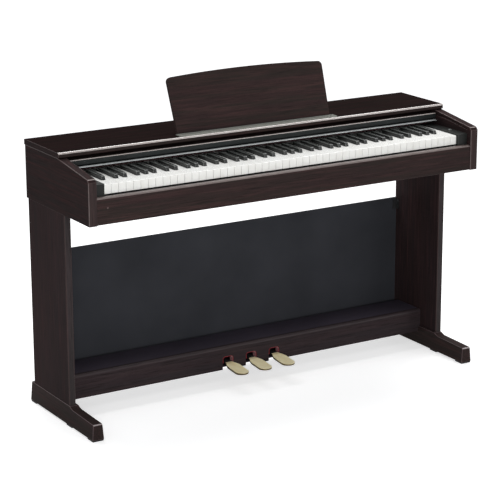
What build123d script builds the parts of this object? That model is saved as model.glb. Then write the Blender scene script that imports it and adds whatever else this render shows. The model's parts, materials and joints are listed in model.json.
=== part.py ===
from build123d import *
from math import acos, asin, cos, degrees, radians, sin, sqrt
import os

os.makedirs("parts", exist_ok=True)

# A home digital piano: a keyboard case on two board legs, joined by a rear panel
# and a pedal box. Millimetres. X runs along the keyboard to the player's right,
# Y away from the player and Z up. The origin is on the floor under the middle.

# --- driving sizes: whole piano ---------------------------------------------
overall_depth = 422.0          # front of the side panels to the heels of the feet
cabinet_height = 815.0         # floor to the upper face of the top board

# --- driving sizes: keyboard -------------------------------------------------
white_count = 52
white_pitch = 23.6
white_gap = 1.0                # between two white keys
white_shown = 150.0            # white key in front of the fallboard
white_head = 50.0              # full-width front part of a white key
white_height = 27.4
key_thickness = 20.4           # behind the front skirt of a key
skirt_thickness = 12.0
black_width = 11.0
black_clearance = 1.0          # beside a black key
black_rise = 12.0              # above the white keys
black_bevel = 1.5
key_reach = 228.0              # front of a white key to its pivot
key_tail = 15.0                # behind the pivot
pivot_drop = 15.4              # white key top to the pivot rod's axis
pivot_radius = 2.0
pivot_clearance = 0.3
key_dip = 10.0                 # at the front of a white key

# --- driving sizes: case -----------------------------------------------------
case_height = 176.4            # underside of the side panels to the top face
case_reveal = 0.9              # side panels reach this far below the keybed
white_top_height = 108.8       # underside of the side panels to the white keys
top_thickness = 16.0
top_overhang = 1.5
top_rear_overhang = 1.0
top_edge_radius = 5.0
top_lower_radius = 3.0
side_thickness = 26.0
side_rear_inset = 11.0
arm_front_height = 133.7       # at the front of a side panel
arm_bevel = 8.0
edge_bevel = 1.2
rail_height = 77.8
rail_thickness = 18.0
rail_setback = 3.0
rail_bevel = 4.0
key_front_gap = 7.0            # front rail to the white keys
nose_setback = 6.0             # top board's front to the fallboard's nose
arm_break_setback = 12.0       # top board's front to the top of an arm's slope
shelf_gap = 6.0                # tails of the keys to the fallboard's rear wall
block_width = 34.4             # black block at each end of the keys
block_gap = 1.0
block_rise = 4.6               # above the white keys
keybed_thickness = 15.5
rear_thickness = 10.0
sheet_thickness = 3.0          # moulded fallboard panel

# --- driving sizes: key cover ------------------------------------------------
cover_radius = 1500.0          # curved path and upper face of the cover
cover_crown_setback = 87.0     # top board's front to the crown of the path
cover_gap = 7.4                # crown of the cover to the top board
cover_proud = 1.0              # open cover in front of the top board
cover_closed_setback = 6.0     # side panels' front to the closed cover
cover_thickness = 8.0
cover_length = 187.0
cover_side_gap = 1.0
lip_thickness = 8.0
lip_height = 17.0
lip_radius = 2.5
runner_radius = 3.0
runner_clearance = 0.3
runner_bevel = 1.8
runner_inset = 10.0            # from the ends of the cover's board
runner_end_gap = 0.6
groove_depth = 6.5

# --- driving sizes: music rest -----------------------------------------------
rest_lean = 19.4               # degrees from upright
rest_width_low = 537.0
rest_width_high = 547.0
rest_side_height = 167.5
rest_arch = 9.5
rest_corner = 14.0
rest_thickness = 9.0
rest_axis_height = 8.5         # hinge axis above the top board
rest_axis_rise = 6.5           # lower edge of the rest to the hinge axis
rest_hinge_spacing = 400.0
rest_hinge_width = 28.0
rest_hinge_gap = 8.4           # ledge to the hinge axis
rest_pin_radius = 1.2
rest_pin_clearance = 0.1
hinge_knuckle = 2.0            # half the height and depth of the knuckle round the pin
hinge_knuckle_bevel = 0.8
hinge_pin_length = 7.0
hinge_end_gap = 1.0
hinge_plate = 16.0
hinge_plate_thickness = 1.6
hinge_pocket_depth = 7.0       # from the back of the rest
hinge_pocket_rise = 3.4        # above the hinge axis
stay_spacing = 340.0
stay_width = 36.0
stay_length = 88.0
stay_thickness = 1.5
stay_rise = 78.0               # hinge axis of the rest to the stay's pivot
stay_offset = 2.0              # stay's pivot behind the back of the rest
stay_foot_gap = 1.0
ledge_width = 552.0
ledge_depth = 30.0
ledge_setback = 5.0            # from the top board's front
ledge_thickness = 2.5
ledge_rib = 1.5
ledge_rib_width = 1.6
ledge_rib_pitch = 3.2
ledge_rib_count = 9

# --- driving sizes: stand ----------------------------------------------------
foot_overhang = 3.5            # outside the side panel
foot_width = 37.0
foot_height = 62.0
foot_toe_height = 51.6
foot_front_inset = 6.4
foot_draft = 4.4               # each side leans in this much at the top
foot_end_draft = 2.0           # toe and heel lean in this much at the top
pad_thickness = 4.0
leg_thickness = 21.0
leg_inset = 1.0
leg_depth = 238.0
leg_rear_inset = 21.4          # from the heel of the foot
leg_bevel = 1.5
panel_thickness = 3.0
panel_gap = 4.0                # feet to the back panel
panel_height = 403.0
panel_inset = 2.0              # from the back of the legs

# --- driving sizes: pedal box ------------------------------------------------
box_height = 74.5
box_clearance = 44.5           # floor to the pedal box
box_depth = 128.0
box_board = 15.0
box_front_board = 18.0
box_front_radius = 8.0
box_base = 4.0
box_base_gap = 5.0             # behind the front board
pedal_pitch = 84.0
pedal_width = 44.0
pedal_neck = 20.0
pedal_arm = 16.0
pedal_thickness = 7.0
pedal_tip_height = 61.0
pedal_slope = 0.085
pedal_reach = 103.0            # in front of the pedal box
notch_width = 38.0
notch_top = 42.5               # above the underside of the pedal box
felt_thickness = 2.0
pedal_pin_radius = 3.0
pedal_pin_clearance = 0.1
pedal_hub_half = 6.5
pedal_hub_bevel = 3.5

# --- derived places ----------------------------------------------------------
front_y = -overall_depth / 2
rear_y = overall_depth / 2
case_z = cabinet_height - case_height
top_under_z = cabinet_height - top_thickness
bed_z = case_z + case_reveal
bed_top_z = bed_z + keybed_thickness
white_top_z = case_z + white_top_height
black_top_z = white_top_z + black_rise

keyboard_half = white_count * white_pitch / 2
block_x = keyboard_half + block_gap
inner_x = block_x + block_width
side_x = inner_x + side_thickness
leg_x = side_x - leg_inset
leg_inner_x = leg_x - leg_thickness
foot_x = side_x + foot_overhang
foot_inner_x = foot_x - foot_width

side_rear_y = rear_y - side_rear_inset
rear_cover_y = side_rear_y - rear_thickness
rail_front_y = front_y + rail_setback
rail_rear_y = rail_front_y + rail_thickness
key_front_y = rail_rear_y + key_front_gap
head_y = key_front_y + white_head
nose_y = key_front_y + white_shown
pivot_y = key_front_y + key_reach
pivot_z = white_top_z - pivot_drop
key_under_z = white_top_z - key_thickness
shelf_rear_y = pivot_y + key_tail + shelf_gap
top_front_y = nose_y + nose_setback
arm_break_y = top_front_y + arm_break_setback
arm_front_z = case_z + arm_front_height

foot_front_y = front_y + foot_front_inset
leg_rear_y = rear_y - leg_rear_inset
leg_front_y = leg_rear_y - leg_depth
panel_y = leg_rear_y - panel_inset - panel_thickness
panel_bottom = foot_height + panel_gap
panel_top = panel_bottom + panel_height
box_top_z = box_clearance + box_height
box_rear_y = panel_y - 19.6
box_front_y = box_rear_y - box_depth

CENTRE_MIN = (Align.CENTER, Align.MIN)
CENTRE_MAX = (Align.CENTER, Align.MAX)
past = 1.0                     # how far a cutting shape reaches past what it cuts


# =============================================================================
# Case
# =============================================================================

# Top board: overhangs the sides a little, with both front edges rounded.
with BuildPart() as top_board:
    with BuildSketch(Plane.XY.offset(top_under_z)):
        with Locations((0, top_front_y)):
            top_depth = side_rear_y + top_rear_overhang - top_front_y
            Rectangle(2 * (side_x + top_overhang), top_depth, align=CENTRE_MIN)
    extrude(amount=top_thickness)
    front_edges = top_board.edges().filter_by(Axis.X).group_by(Axis.Y)[0].sort_by(Axis.Z)
    fillet(front_edges[-1], top_edge_radius)
    front_edges = top_board.edges().filter_by(Axis.X).group_by(Axis.Y)[0].sort_by(Axis.Z)
    fillet(front_edges[0], top_lower_radius)
top_board.part.label = "top_board"
export_step(top_board.part, "parts/top_board.step")

# The key cover runs on arcs about one axis far below the case.
cover_crown_y = top_front_y + cover_crown_setback
cover_axis_z = top_under_z - cover_gap - cover_radius
cover_front_y = top_front_y - cover_proud
cover_plate_y = cover_front_y + lip_thickness
cover_rear_y = cover_plate_y + cover_length
cover_closed_y = front_y + cover_closed_setback
runner_path_radius = cover_radius - cover_thickness / 2
runner_front_y = cover_plate_y + runner_inset
runner_rear_y = cover_rear_y - runner_inset


def path_angle(y, radius):
    """Angle from +Y, in degrees, at which an arc about the cover's axis stands at depth y."""
    return degrees(acos((y - cover_crown_y) / radius))


def path_height(y, radius):
    """Height at depth y of an arc about the cover's axis."""
    return cover_axis_z + sqrt(radius**2 - (y - cover_crown_y) ** 2)


cover_travel = path_angle(cover_closed_y, cover_radius) - path_angle(cover_front_y, cover_radius)


def make_side_panel(side):
    """Side panel with a sloping arm, and a curved groove for the key cover's runners."""
    rear_angle = path_angle(runner_rear_y, runner_path_radius)
    front_angle = path_angle(runner_front_y, runner_path_radius) + cover_travel
    with BuildPart() as panel:
        with BuildSketch(Plane.YZ.offset(side * inner_x)):
            with BuildLine():
                Polyline(
                    (front_y, case_z),
                    (side_rear_y, case_z),
                    (side_rear_y, top_under_z),
                    (arm_break_y, top_under_z),
                    (front_y, arm_front_z),
                    close=True,
                )
            make_face()
        extrude(amount=side * side_thickness)
        front_edges = panel.edges().filter_by(Axis.X).group_by(Axis.Y)[0]
        chamfer(front_edges.sort_by(Axis.Z)[-1], arm_bevel)
        outer_edges = panel.faces().sort_by(Axis.X)[-1 if side > 0 else 0].edges()
        inner_edges = panel.faces().sort_by(Axis.X)[0 if side > 0 else -1].edges()
        arm_edges = inner_edges.filter_by(lambda edge: edge.center().Y < arm_break_y)
        chamfer(outer_edges.sort_by(Axis.Z)[1:] + arm_edges, edge_bevel)
        with BuildSketch(Plane.YZ.offset(side * inner_x)):
            with BuildLine() as path:
                CenterArc(
                    (cover_crown_y, cover_axis_z),
                    runner_path_radius,
                    rear_angle,
                    front_angle - rear_angle,
                )
            SlotArc(path.edges()[0], 2 * (runner_radius + runner_clearance))
        extrude(amount=side * groove_depth, mode=Mode.SUBTRACT)
    return panel


side_panel_left = make_side_panel(-1)
side_panel_left.part.label = "side_panel_left"
export_step(side_panel_left.part, "parts/side_panel_left.step")

side_panel_right = make_side_panel(1)
side_panel_right.part.label = "side_panel_right"
export_step(side_panel_right.part, "parts/side_panel_right.step")

# Front rail: a board below the keys, with a bevelled upper edge and a hole for the lamp.
lamp_offset = 1.4              # outside the lowest key
lamp_rise = 47.5
lamp_x = -(keyboard_half + lamp_offset)
lamp_z = bed_z + lamp_rise
lamp_size = 4.0
lamp_clearance = 0.1
lamp_proud = 0.8
with BuildPart() as front_rail:
    with BuildSketch(Plane.XY.offset(bed_z)):
        with Locations((0, rail_front_y)):
            Rectangle(2 * inner_x, rail_thickness, align=CENTRE_MIN)
    extrude(amount=rail_height)
    upper_edges = front_rail.edges().filter_by(Axis.X).group_by(Axis.Z)[-1]
    chamfer(upper_edges.sort_by(Axis.Y)[0], rail_bevel)
    with BuildSketch(Plane.XZ.offset(-rail_front_y)):
        with Locations((lamp_x, lamp_z)):
            Rectangle(lamp_size + 2 * lamp_clearance, lamp_size + 2 * lamp_clearance)
    extrude(amount=-rail_thickness, mode=Mode.SUBTRACT)
front_rail.part.label = "front_rail"
export_step(front_rail.part, "parts/front_rail.step")

# Power lamp: a light guide through the front rail.
with BuildPart() as power_lamp:
    with BuildSketch(Plane.XZ.offset(-rail_rear_y)):
        with Locations((lamp_x, lamp_z)):
            Rectangle(lamp_size, lamp_size)
    extrude(amount=rail_thickness + lamp_proud)
power_lamp.part.label = "power_lamp"
export_step(power_lamp.part, "parts/power_lamp.step")

# Keybed: carries the keyboard, with a hole under each speaker.
speaker_x = 430.0
speaker_y = (shelf_rear_y + rear_cover_y) / 2
speaker_rx = 56.0
speaker_ry = 37.0
speaker_corner = 18.0          # cut off the corners of the hole, the flange and the grille
speaker_flange = 7.0
speaker_places = [(-speaker_x, speaker_y), (speaker_x, speaker_y)]
with BuildPart() as keybed:
    with BuildSketch(Plane.XY.offset(bed_z)):
        with Locations((0, rail_rear_y)):
            Rectangle(2 * inner_x, rear_cover_y - rail_rear_y, align=CENTRE_MIN)
    extrude(amount=keybed_thickness)
    with BuildSketch(Plane.XY.offset(bed_z)) as speaker_holes:
        with Locations(*speaker_places):
            Rectangle(2 * speaker_rx, 2 * speaker_ry)
        chamfer(speaker_holes.vertices(), speaker_corner)
    extrude(amount=keybed_thickness, mode=Mode.SUBTRACT)
keybed.part.label = "keybed"
export_step(keybed.part, "parts/keybed.step")

# Speakers: a flange on the keybed, a basket that narrows upwards, and a magnet.
basket_height = 22.0
basket_radius = 36.0
basket_throat = 26.0
basket_flange = 2.0
magnet_radius = 33.0
magnet_height = 14.0
with BuildPart() as speakers:
    with BuildSketch(Plane.XY.offset(bed_top_z)) as flanges:
        with Locations(*speaker_places):
            Rectangle(2 * (speaker_rx + speaker_flange), 2 * (speaker_ry + speaker_flange))
        chamfer(flanges.vertices(), speaker_corner)
    extrude(amount=basket_flange)
    for place in speaker_places:
        basket_foot = (*place, bed_top_z + basket_flange)
        with BuildSketch(Plane(origin=basket_foot, x_dir=(1, 0, 0), z_dir=(0, -1, 0))):
            with BuildLine():
                Polyline(
                    (0, 0),
                    (basket_radius, 0),
                    (basket_throat, basket_height),
                    (magnet_radius, basket_height),
                    (magnet_radius, basket_height + magnet_height),
                    (0, basket_height + magnet_height),
                    close=True,
                )
            make_face()
        revolve(axis=Axis(basket_foot, (0, 0, 1)))
speakers.part.label = "speakers"
export_step(speakers.part, "parts/speakers.step")

# Speaker grilles: slotted plates under the keybed.
grille_thickness = 2.0
grille_slot_pitch = 12.0
grille_slot_width = 4.0
grille_slots = 8
grille_margin = 8.0            # slots to the edge of the plate
with BuildPart() as speaker_grilles:
    with BuildSketch(Plane.XY.offset(bed_z - grille_thickness)) as plates:
        with Locations(*speaker_places):
            Rectangle(2 * (speaker_rx + speaker_flange), 2 * (speaker_ry + speaker_flange))
        chamfer(plates.vertices(), speaker_corner)
        for side in (-1, 1):
            for slot in range(grille_slots):
                slot_x = (slot - (grille_slots - 1) / 2) * grille_slot_pitch
                into_corner = max(0.0, abs(slot_x) - (speaker_rx - speaker_corner))
                slot_length = 2 * (speaker_ry + speaker_flange - grille_margin - into_corner)
                with Locations((side * speaker_x + slot_x, speaker_y)):
                    Rectangle(grille_slot_width, slot_length, mode=Mode.SUBTRACT)
    extrude(amount=grille_thickness)
speaker_grilles.part.label = "speaker_grilles"
export_step(speaker_grilles.part, "parts/speaker_grilles.step")

# Rear cover: closes the back of the case, with a cut-out for the connectors.
connector_x = -480.0
connector_rise = 45.0
connector_fit = 1.0
connector_z = bed_top_z + connector_rise
connector_width = 64.0
connector_height = 28.0
connector_depth = 14.0
with BuildPart() as rear_cover:
    with BuildSketch(Plane.XZ.offset(-side_rear_y)):
        with Locations((0, bed_z)):
            Rectangle(2 * inner_x, top_under_z - bed_z, align=CENTRE_MIN)
        with Locations((connector_x, connector_z)):
            Rectangle(
                connector_width + connector_fit, connector_height + connector_fit, mode=Mode.SUBTRACT
            )
    extrude(amount=rear_thickness)
rear_cover.part.label = "rear_cover"
export_step(rear_cover.part, "parts/rear_cover.step")

# Connector panel: a flanged block with a power inlet and a square data socket.
flange_thickness = 1.0
flange_margin = 6.0
inlet_x = connector_x - 16.0
inlet_radius = 3.0
inlet_depth = 12.0
socket_x = connector_x + 14.0
socket_width = 12.6
socket_height = 11.4
socket_depth = 10.0
with BuildPart() as connector_panel:
    with BuildSketch(Plane.XZ.offset(-(side_rear_y + flange_thickness))):
        with Locations((connector_x, connector_z)):
            Rectangle(connector_width + 2 * flange_margin, connector_height + 2 * flange_margin)
    extrude(amount=flange_thickness)
    with BuildSketch(Plane.XZ.offset(-side_rear_y)):
        with Locations((connector_x, connector_z)):
            Rectangle(connector_width, connector_height)
    extrude(amount=connector_depth)
    with BuildSketch(Plane.XZ.offset(-(side_rear_y + flange_thickness))):
        with Locations((inlet_x, connector_z)):
            Circle(inlet_radius)
    extrude(amount=inlet_depth, mode=Mode.SUBTRACT)
    with BuildSketch(Plane.XZ.offset(-(side_rear_y + flange_thickness))):
        with Locations((socket_x, connector_z)):
            Rectangle(socket_width, socket_height)
    extrude(amount=socket_depth, mode=Mode.SUBTRACT)
connector_panel.part.label = "connector_panel"
export_step(connector_panel.part, "parts/connector_panel.step")

# =============================================================================
# Controls on the black blocks at the ends of the keys
# =============================================================================

block_top_z = white_top_z + block_rise
block_mid_x = (block_x + inner_x) / 2
block_rear_y = nose_y + 85.0
block_edge_radius = 3.0
button_width = 11.0
button_length = 8.0
button_corner = 1.6            # cut off the corners
button_edge = 0.7              # bevel round the top
button_clearance = 0.25
button_height = 5.0
button_proud = 3.0
button_well = 5.5
power_y = key_front_y + 58.0
voice_y = key_front_y + 36.0
metronome_y = key_front_y + 54.0
slider_front_y = key_front_y + 76.0
slider_travel = 24.0
slider_slot_width = 4.0
slider_stem_width = 3.4
slider_stem_length = 6.0
slider_knob_width = 10.0
slider_knob_length = 13.0
slider_knob_height = 4.5
slider_knob_taper = 8.0        # degrees
slider_knob_groove = 2.0
slider_knob_gap = 0.4          # over the block
slider_end_gap = 0.5           # stem to the end and to the floor of its slot


def make_key_block(side, button_places, slot_length):
    """Moulded block beside the keys: a rounded top, wells for buttons and a slider's slot."""
    with BuildPart() as block:
        with BuildSketch(Plane.XY.offset(bed_top_z)):
            with Locations((side * block_mid_x, rail_rear_y)):
                Rectangle(block_width, block_rear_y - rail_rear_y, align=CENTRE_MIN)
        extrude(amount=block_top_z - bed_top_z)
        fillet(block.faces().sort_by(Axis.Z)[-1].edges().sort_by(Axis.Y)[0], block_edge_radius)
        with BuildSketch(Plane.XY.offset(block_top_z)) as wells:
            with Locations(*button_places):
                Rectangle(button_width + 2 * button_clearance, button_length + 2 * button_clearance)
            chamfer(wells.vertices(), button_corner)
            if slot_length:
                with Locations((side * block_mid_x, slider_front_y)):
                    Rectangle(slider_slot_width, slot_length, align=CENTRE_MIN)
        extrude(amount=-button_well, mode=Mode.SUBTRACT)
    return block


def make_button(place):
    """Push button with cut corners and a bevelled top, standing proud of its well."""
    with BuildPart() as button:
        with BuildSketch(Plane.XY.offset(block_top_z + button_proud - button_height)) as outline:
            with Locations(place):
                Rectangle(button_width, button_length)
            chamfer(outline.vertices(), button_corner)
        extrude(amount=button_height)
        chamfer(button.edges().group_by(Axis.Z)[-1], button_edge)
    return button


power_place = (block_mid_x, power_y)
key_block_right = make_key_block(1, [power_place], 0)
key_block_right.part.label = "key_block_right"
export_step(key_block_right.part, "parts/key_block_right.step")

left_places = {"voice_button": (-block_mid_x, voice_y), "metronome_button": (-block_mid_x, metronome_y)}
slider_slot_length = slider_travel + slider_stem_length + 2 * slider_end_gap
key_block_left = make_key_block(-1, left_places.values(), slider_slot_length)
key_block_left.part.label = "key_block_left"
export_step(key_block_left.part, "parts/key_block_left.step")

power_button = make_button(power_place)
power_button.part.label = "power_button"
export_step(power_button.part, "parts/power_button.step")

for button_name, button_place in left_places.items():
    button = make_button(button_place)
    button.part.label = button_name
    export_step(button.part, f"parts/{button_name}.step")

# Volume slider: a ridged knob on a stem, at the front end of its slot.
slider_y = slider_front_y + slider_end_gap + slider_stem_length / 2
stem_z = block_top_z - button_well + slider_end_gap
knob_z = block_top_z + slider_knob_gap
with BuildPart() as volume_slider:
    with BuildSketch(Plane.XY.offset(stem_z)):
        with Locations((-block_mid_x, slider_y)):
            Rectangle(slider_stem_width, slider_stem_length)
    extrude(amount=knob_z - stem_z)
    with BuildSketch(Plane.XY.offset(knob_z)):
        with Locations((-block_mid_x, slider_y)):
            Rectangle(slider_knob_width, slider_knob_length)
    extrude(amount=slider_knob_height, taper=slider_knob_taper)
    with BuildSketch(Plane.YZ.offset(-block_mid_x - slider_knob_width / 2)):
        with Locations((slider_y, knob_z + slider_knob_height)):
            Rectangle(slider_knob_groove, slider_knob_groove)
    extrude(amount=slider_knob_width, mode=Mode.SUBTRACT)
volume_slider.part.label = "volume_slider"
export_step(volume_slider.part, "parts/volume_slider.step")

# =============================================================================
# Fallboard, key cover
# =============================================================================

nose_depth = 28.0
nose_gap = 3.0                 # black keys to the underside of the nose
nose_radius = 1.7
shelf_drop = 5.0               # cover to the shelf under it
shelf_z = path_height(nose_y + nose_depth, cover_radius) - cover_thickness - shelf_drop
nose_z = black_top_z + nose_gap
# Heights of the nose above its underside, against the distance behind its front.
nose_upper = [(0.0, 3.6), (5.0, 6.0), (16.0, 7.8)]
nose_under = [(17.0, 4.8), (7.0, 0.0), (0.0, 0.0)]

# Fallboard panel: one moulded sheet with a rounded nose over the keys, a shelf
# under the key cover and a rear wall down to the keybed.
with BuildPart() as fallboard_panel:
    with BuildSketch(Plane.YZ.offset(-inner_x)):
        with BuildLine():
            Polyline(
                *[(nose_y + back, nose_z + up) for back, up in nose_upper],
                (nose_y + nose_depth, shelf_z),
                (shelf_rear_y, shelf_z),
                (shelf_rear_y, bed_top_z),
                (shelf_rear_y - sheet_thickness, bed_top_z),
                (shelf_rear_y - sheet_thickness, shelf_z - sheet_thickness),
                (nose_y + nose_depth + 1.0, shelf_z - sheet_thickness),
                *[(nose_y + back, nose_z + up) for back, up in nose_under],
                close=True,
            )
        make_face()
    extrude(amount=2 * inner_x)
    nose_edges = fallboard_panel.edges().filter_by(Axis.X).group_by(Axis.Y)[0]
    fillet(nose_edges, nose_radius)
fallboard_panel.part.label = "fallboard_panel"
export_step(fallboard_panel.part, "parts/fallboard_panel.step")

# Key cover: a thin curved board that slides out from under the top board.
cover_half = inner_x - cover_side_gap
with BuildPart() as key_cover:
    with BuildSketch(Plane.YZ.offset(-cover_half)):
        with BuildLine():
            upper_rear = path_angle(cover_rear_y, cover_radius)
            upper_front = path_angle(cover_plate_y, cover_radius)
            upper = CenterArc(
                (cover_crown_y, cover_axis_z), cover_radius, upper_rear, upper_front - upper_rear
            )
            lower = CenterArc(
                (cover_crown_y, cover_axis_z),
                cover_radius - cover_thickness,
                upper_rear,
                upper_front - upper_rear,
            )
            Line(upper @ 0, lower @ 0)
            Line(upper @ 1, lower @ 1)
        make_face()
    extrude(amount=2 * cover_half)
key_cover.part.label = "key_cover"
export_step(key_cover.part, "parts/key_cover.step")

# Cover lip: the rounded front edge that hides the keys when the cover is shut.
lip_top_z = path_height(cover_plate_y, cover_radius)
lip_angle = path_angle(cover_plate_y, cover_radius) - 90
with BuildPart() as cover_lip:
    lip_plane = Plane(
        origin=(-cover_half, cover_plate_y, lip_top_z),
        x_dir=(0, cos(radians(lip_angle)), sin(radians(lip_angle))),
        z_dir=(1, 0, 0),
    )
    with BuildSketch(lip_plane):
        Rectangle(lip_thickness, lip_height, align=(Align.MAX, Align.MAX))
    extrude(amount=2 * cover_half)
    lip_front = cover_lip.edges().filter_by(Axis.X).group_by(Axis.Y)
    fillet(lip_front[0] + lip_front[1], lip_radius)
cover_lip.part.label = "cover_lip"
export_step(cover_lip.part, "parts/cover_lip.step")

# Cover runners: four bevelled shoes on the ends of the cover, in the side panels' grooves.
with BuildPart() as cover_runners:
    for side in (-1, 1):
        with BuildSketch(Plane.YZ.offset(side * cover_half)) as shoes:
            for runner_y in (runner_front_y, runner_rear_y):
                with Locations((runner_y, path_height(runner_y, runner_path_radius))):
                    Rectangle(2 * runner_radius, 2 * runner_radius)
            chamfer(shoes.vertices(), runner_bevel)
        extrude(amount=side * (cover_side_gap + groove_depth - runner_end_gap))
cover_runners.part.label = "cover_runners"
export_step(cover_runners.part, "parts/cover_runners.step")

# =============================================================================
# Keyboard
# =============================================================================

white_notes = "CDEFGAB"
first_white = white_notes.index("A")
octave_width = len(white_notes) * white_pitch
cde_step = 3 * white_pitch / 5
fgab_step = 4 * white_pitch / 7
# Middle of each black key, from the left side of its octave's C.
black_middles = {
    "C": 1.5 * cde_step,
    "D": 3.5 * cde_step,
    "F": 3 * white_pitch + 1.5 * fgab_step,
    "G": 3 * white_pitch + 3.5 * fgab_step,
    "A": 3 * white_pitch + 5.5 * fgab_step,
}
first_octave_x = -keyboard_half - first_white * white_pitch
middle_octave = range(23, 30)
slot_half = black_width / 2 + black_clearance
key_edge_bevel = 0.8
notch_depth = 20.0             # of the shape that cuts a key's underside away
black_stem_drop = 2.0          # behind the playing part, below the white keys
black_playing_end = 6.0        # under the fallboard's nose


def note_name(index):
    """Letter of a white key, counted from the lowest."""
    return white_notes[(index + first_white) % len(white_notes)]


def black_x(index):
    """Middle of the black key to the right of a white key, or None where there is none."""
    note = note_name(index)
    if note not in black_middles or index < 0 or index >= white_count - 1:
        return None
    octave = (index + first_white) // len(white_notes)
    return first_octave_x + octave * octave_width + black_middles[note]


def pivot_notch(front, under_z):
    """Outline, in Y and Z, of what is cut from under a key: its relief and the V over the rod."""
    apex_z = pivot_z + (pivot_radius + pivot_clearance) * sqrt(2)
    half_open = apex_z - under_z
    deep_z = under_z - notch_depth
    tail_y = pivot_y + key_tail + past
    return [
        (front, deep_z),
        (front, under_z),
        (pivot_y - half_open, under_z),
        (pivot_y, apex_z),
        (pivot_y + half_open, under_z),
        (tail_y, under_z),
        (tail_y, deep_z),
    ]


def make_white_key(index):
    """White key: a full-width head, a stem between the black keys and a V over the pivot rod."""
    left = -keyboard_half + index * white_pitch + white_gap / 2
    right = left + white_pitch - white_gap
    left_black = black_x(index - 1)
    right_black = black_x(index)
    stem_left = left if left_black is None else left_black + slot_half
    stem_right = right if right_black is None else right_black - slot_half
    tail_y = pivot_y + key_tail
    outline = [(left, key_front_y), (right, key_front_y)]
    if right_black is not None:
        outline += [(right, head_y), (stem_right, head_y)]
    outline += [(stem_right, tail_y), (stem_left, tail_y)]
    if left_black is not None:
        outline += [(stem_left, head_y), (left, head_y)]
    with BuildPart() as key:
        with BuildSketch(Plane.XY.offset(white_top_z)):
            with BuildLine():
                Polyline(*outline, close=True)
            make_face()
        extrude(amount=-white_height)
        front_edge = key.edges().filter_by(Axis.X).group_by(Axis.Y)[0].sort_by(Axis.Z)[-1]
        chamfer(front_edge, key_edge_bevel)
        with BuildSketch(Plane.YZ.offset(left - past)):
            with BuildLine():
                Polyline(*pivot_notch(key_front_y + skirt_thickness, key_under_z), close=True)
            make_face()
        extrude(amount=white_pitch + 2 * past, mode=Mode.SUBTRACT)
    return key.part


def make_black_key(index):
    """Black key: a narrow stem and a raised, bevelled playing part with a sloping front."""
    middle = black_x(index)
    stem_z = white_top_z - black_stem_drop
    playing_rear_y = nose_y + black_playing_end
    heel_y = head_y + 2 * black_clearance
    with BuildPart() as key:
        with BuildSketch(Plane.YZ.offset(middle - black_width / 2)):
            with BuildLine():
                Polyline(
                    (heel_y, key_under_z),
                    (head_y + black_clearance, white_top_z),
                    (heel_y + 3.0, black_top_z - black_bevel),
                    (heel_y + 6.0, black_top_z),
                    (playing_rear_y, black_top_z),
                    (playing_rear_y, stem_z),
                    (pivot_y + key_tail, stem_z),
                    (pivot_y + key_tail, key_under_z),
                    close=True,
                )
            make_face()
        extrude(amount=black_width)
        chamfer(key.edges().filter_by(Axis.Y).group_by(Axis.Z)[-1], black_bevel)
        with BuildSketch(Plane.YZ.offset(middle - black_width / 2 - past)):
            with BuildLine():
                Polyline(*pivot_notch(head_y - past, key_under_z), close=True)
            make_face()
        extrude(amount=black_width + 2 * past, mode=Mode.SUBTRACT)
    return key.part


def save_key_group(name, keys):
    """One node of several separate keys."""
    with BuildPart() as group:
        add(keys)
    group.part.label = name
    export_step(group.part, f"parts/{name}.step")


bass = range(0, middle_octave.start)
treble = range(middle_octave.stop, white_count)
for register, indexes in (("bass", bass), ("treble", treble)):
    save_key_group(f"white_keys_{register}", [make_white_key(i) for i in indexes])
    black_indexes = [i for i in indexes if black_x(i) is not None]
    save_key_group(f"black_keys_{register}", [make_black_key(i) for i in black_indexes])

# Each key of the middle octave is a node of its own.
for index in middle_octave:
    letter = note_name(index).lower()
    save_key_group(f"key_{letter}", [make_white_key(index)])
    if black_x(index) is not None:
        save_key_group(f"key_{letter}_sharp", [make_black_key(index)])

# Key frame: a folded steel chassis with a front flange for the felt, and a rear
# web that carries the pivot rod.
frame_sheet = 1.6
frame_end_gap = 1.0
frame_half = keyboard_half - frame_end_gap
flange_setback = 15.0
flange_front_y = key_front_y + flange_setback
flange_depth = 26.0
dip_angle = degrees(asin(key_dip / key_reach))
felt_inset = 2.0
felt_front_y = flange_front_y + felt_inset
felt_depth = flange_depth - 2 * felt_inset
felt_gap = 0.4                 # to a pressed key
felt_height = 1.6
nose_felt_depth = 4.0
nose_felt_height = 1.4
felt_top_z = key_under_z - sin(radians(dip_angle)) * (pivot_y - felt_front_y) - felt_gap
flange_top_z = felt_top_z - felt_height
with BuildPart() as key_frame:
    with BuildSketch(Plane.YZ.offset(-frame_half)):
        with BuildLine():
            web_y = flange_front_y + flange_depth
            Polyline(
                (flange_front_y, flange_top_z),
                (flange_front_y, flange_top_z - frame_sheet),
                (web_y - frame_sheet, flange_top_z - frame_sheet),
                (web_y - frame_sheet, bed_top_z),
                (pivot_y + frame_sheet / 2, bed_top_z),
                (pivot_y + frame_sheet / 2, pivot_z),
                (pivot_y - frame_sheet / 2, pivot_z),
                (pivot_y - frame_sheet / 2, bed_top_z + frame_sheet),
                (web_y, bed_top_z + frame_sheet),
                (web_y, flange_top_z),
                close=True,
            )
        make_face()
        with Locations((pivot_y, pivot_z)):
            Circle(pivot_radius)
    extrude(amount=2 * frame_half)
key_frame.part.label = "key_frame"
export_step(key_frame.part, "parts/key_frame.step")

# Key felts: the strip that stops the keys, and the strip under the fallboard's nose.
with BuildPart() as key_felts:
    with BuildSketch(Plane.YZ.offset(-frame_half)):
        with Locations((felt_front_y, flange_top_z)):
            Rectangle(felt_depth, felt_height, align=(Align.MIN, Align.MIN))
        with Locations((nose_y + felt_inset, nose_z)):
            Rectangle(nose_felt_depth, nose_felt_height, align=(Align.MIN, Align.MAX))
    extrude(amount=2 * frame_half)
key_felts.part.label = "key_felts"
export_step(key_felts.part, "parts/key_felts.step")

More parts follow.
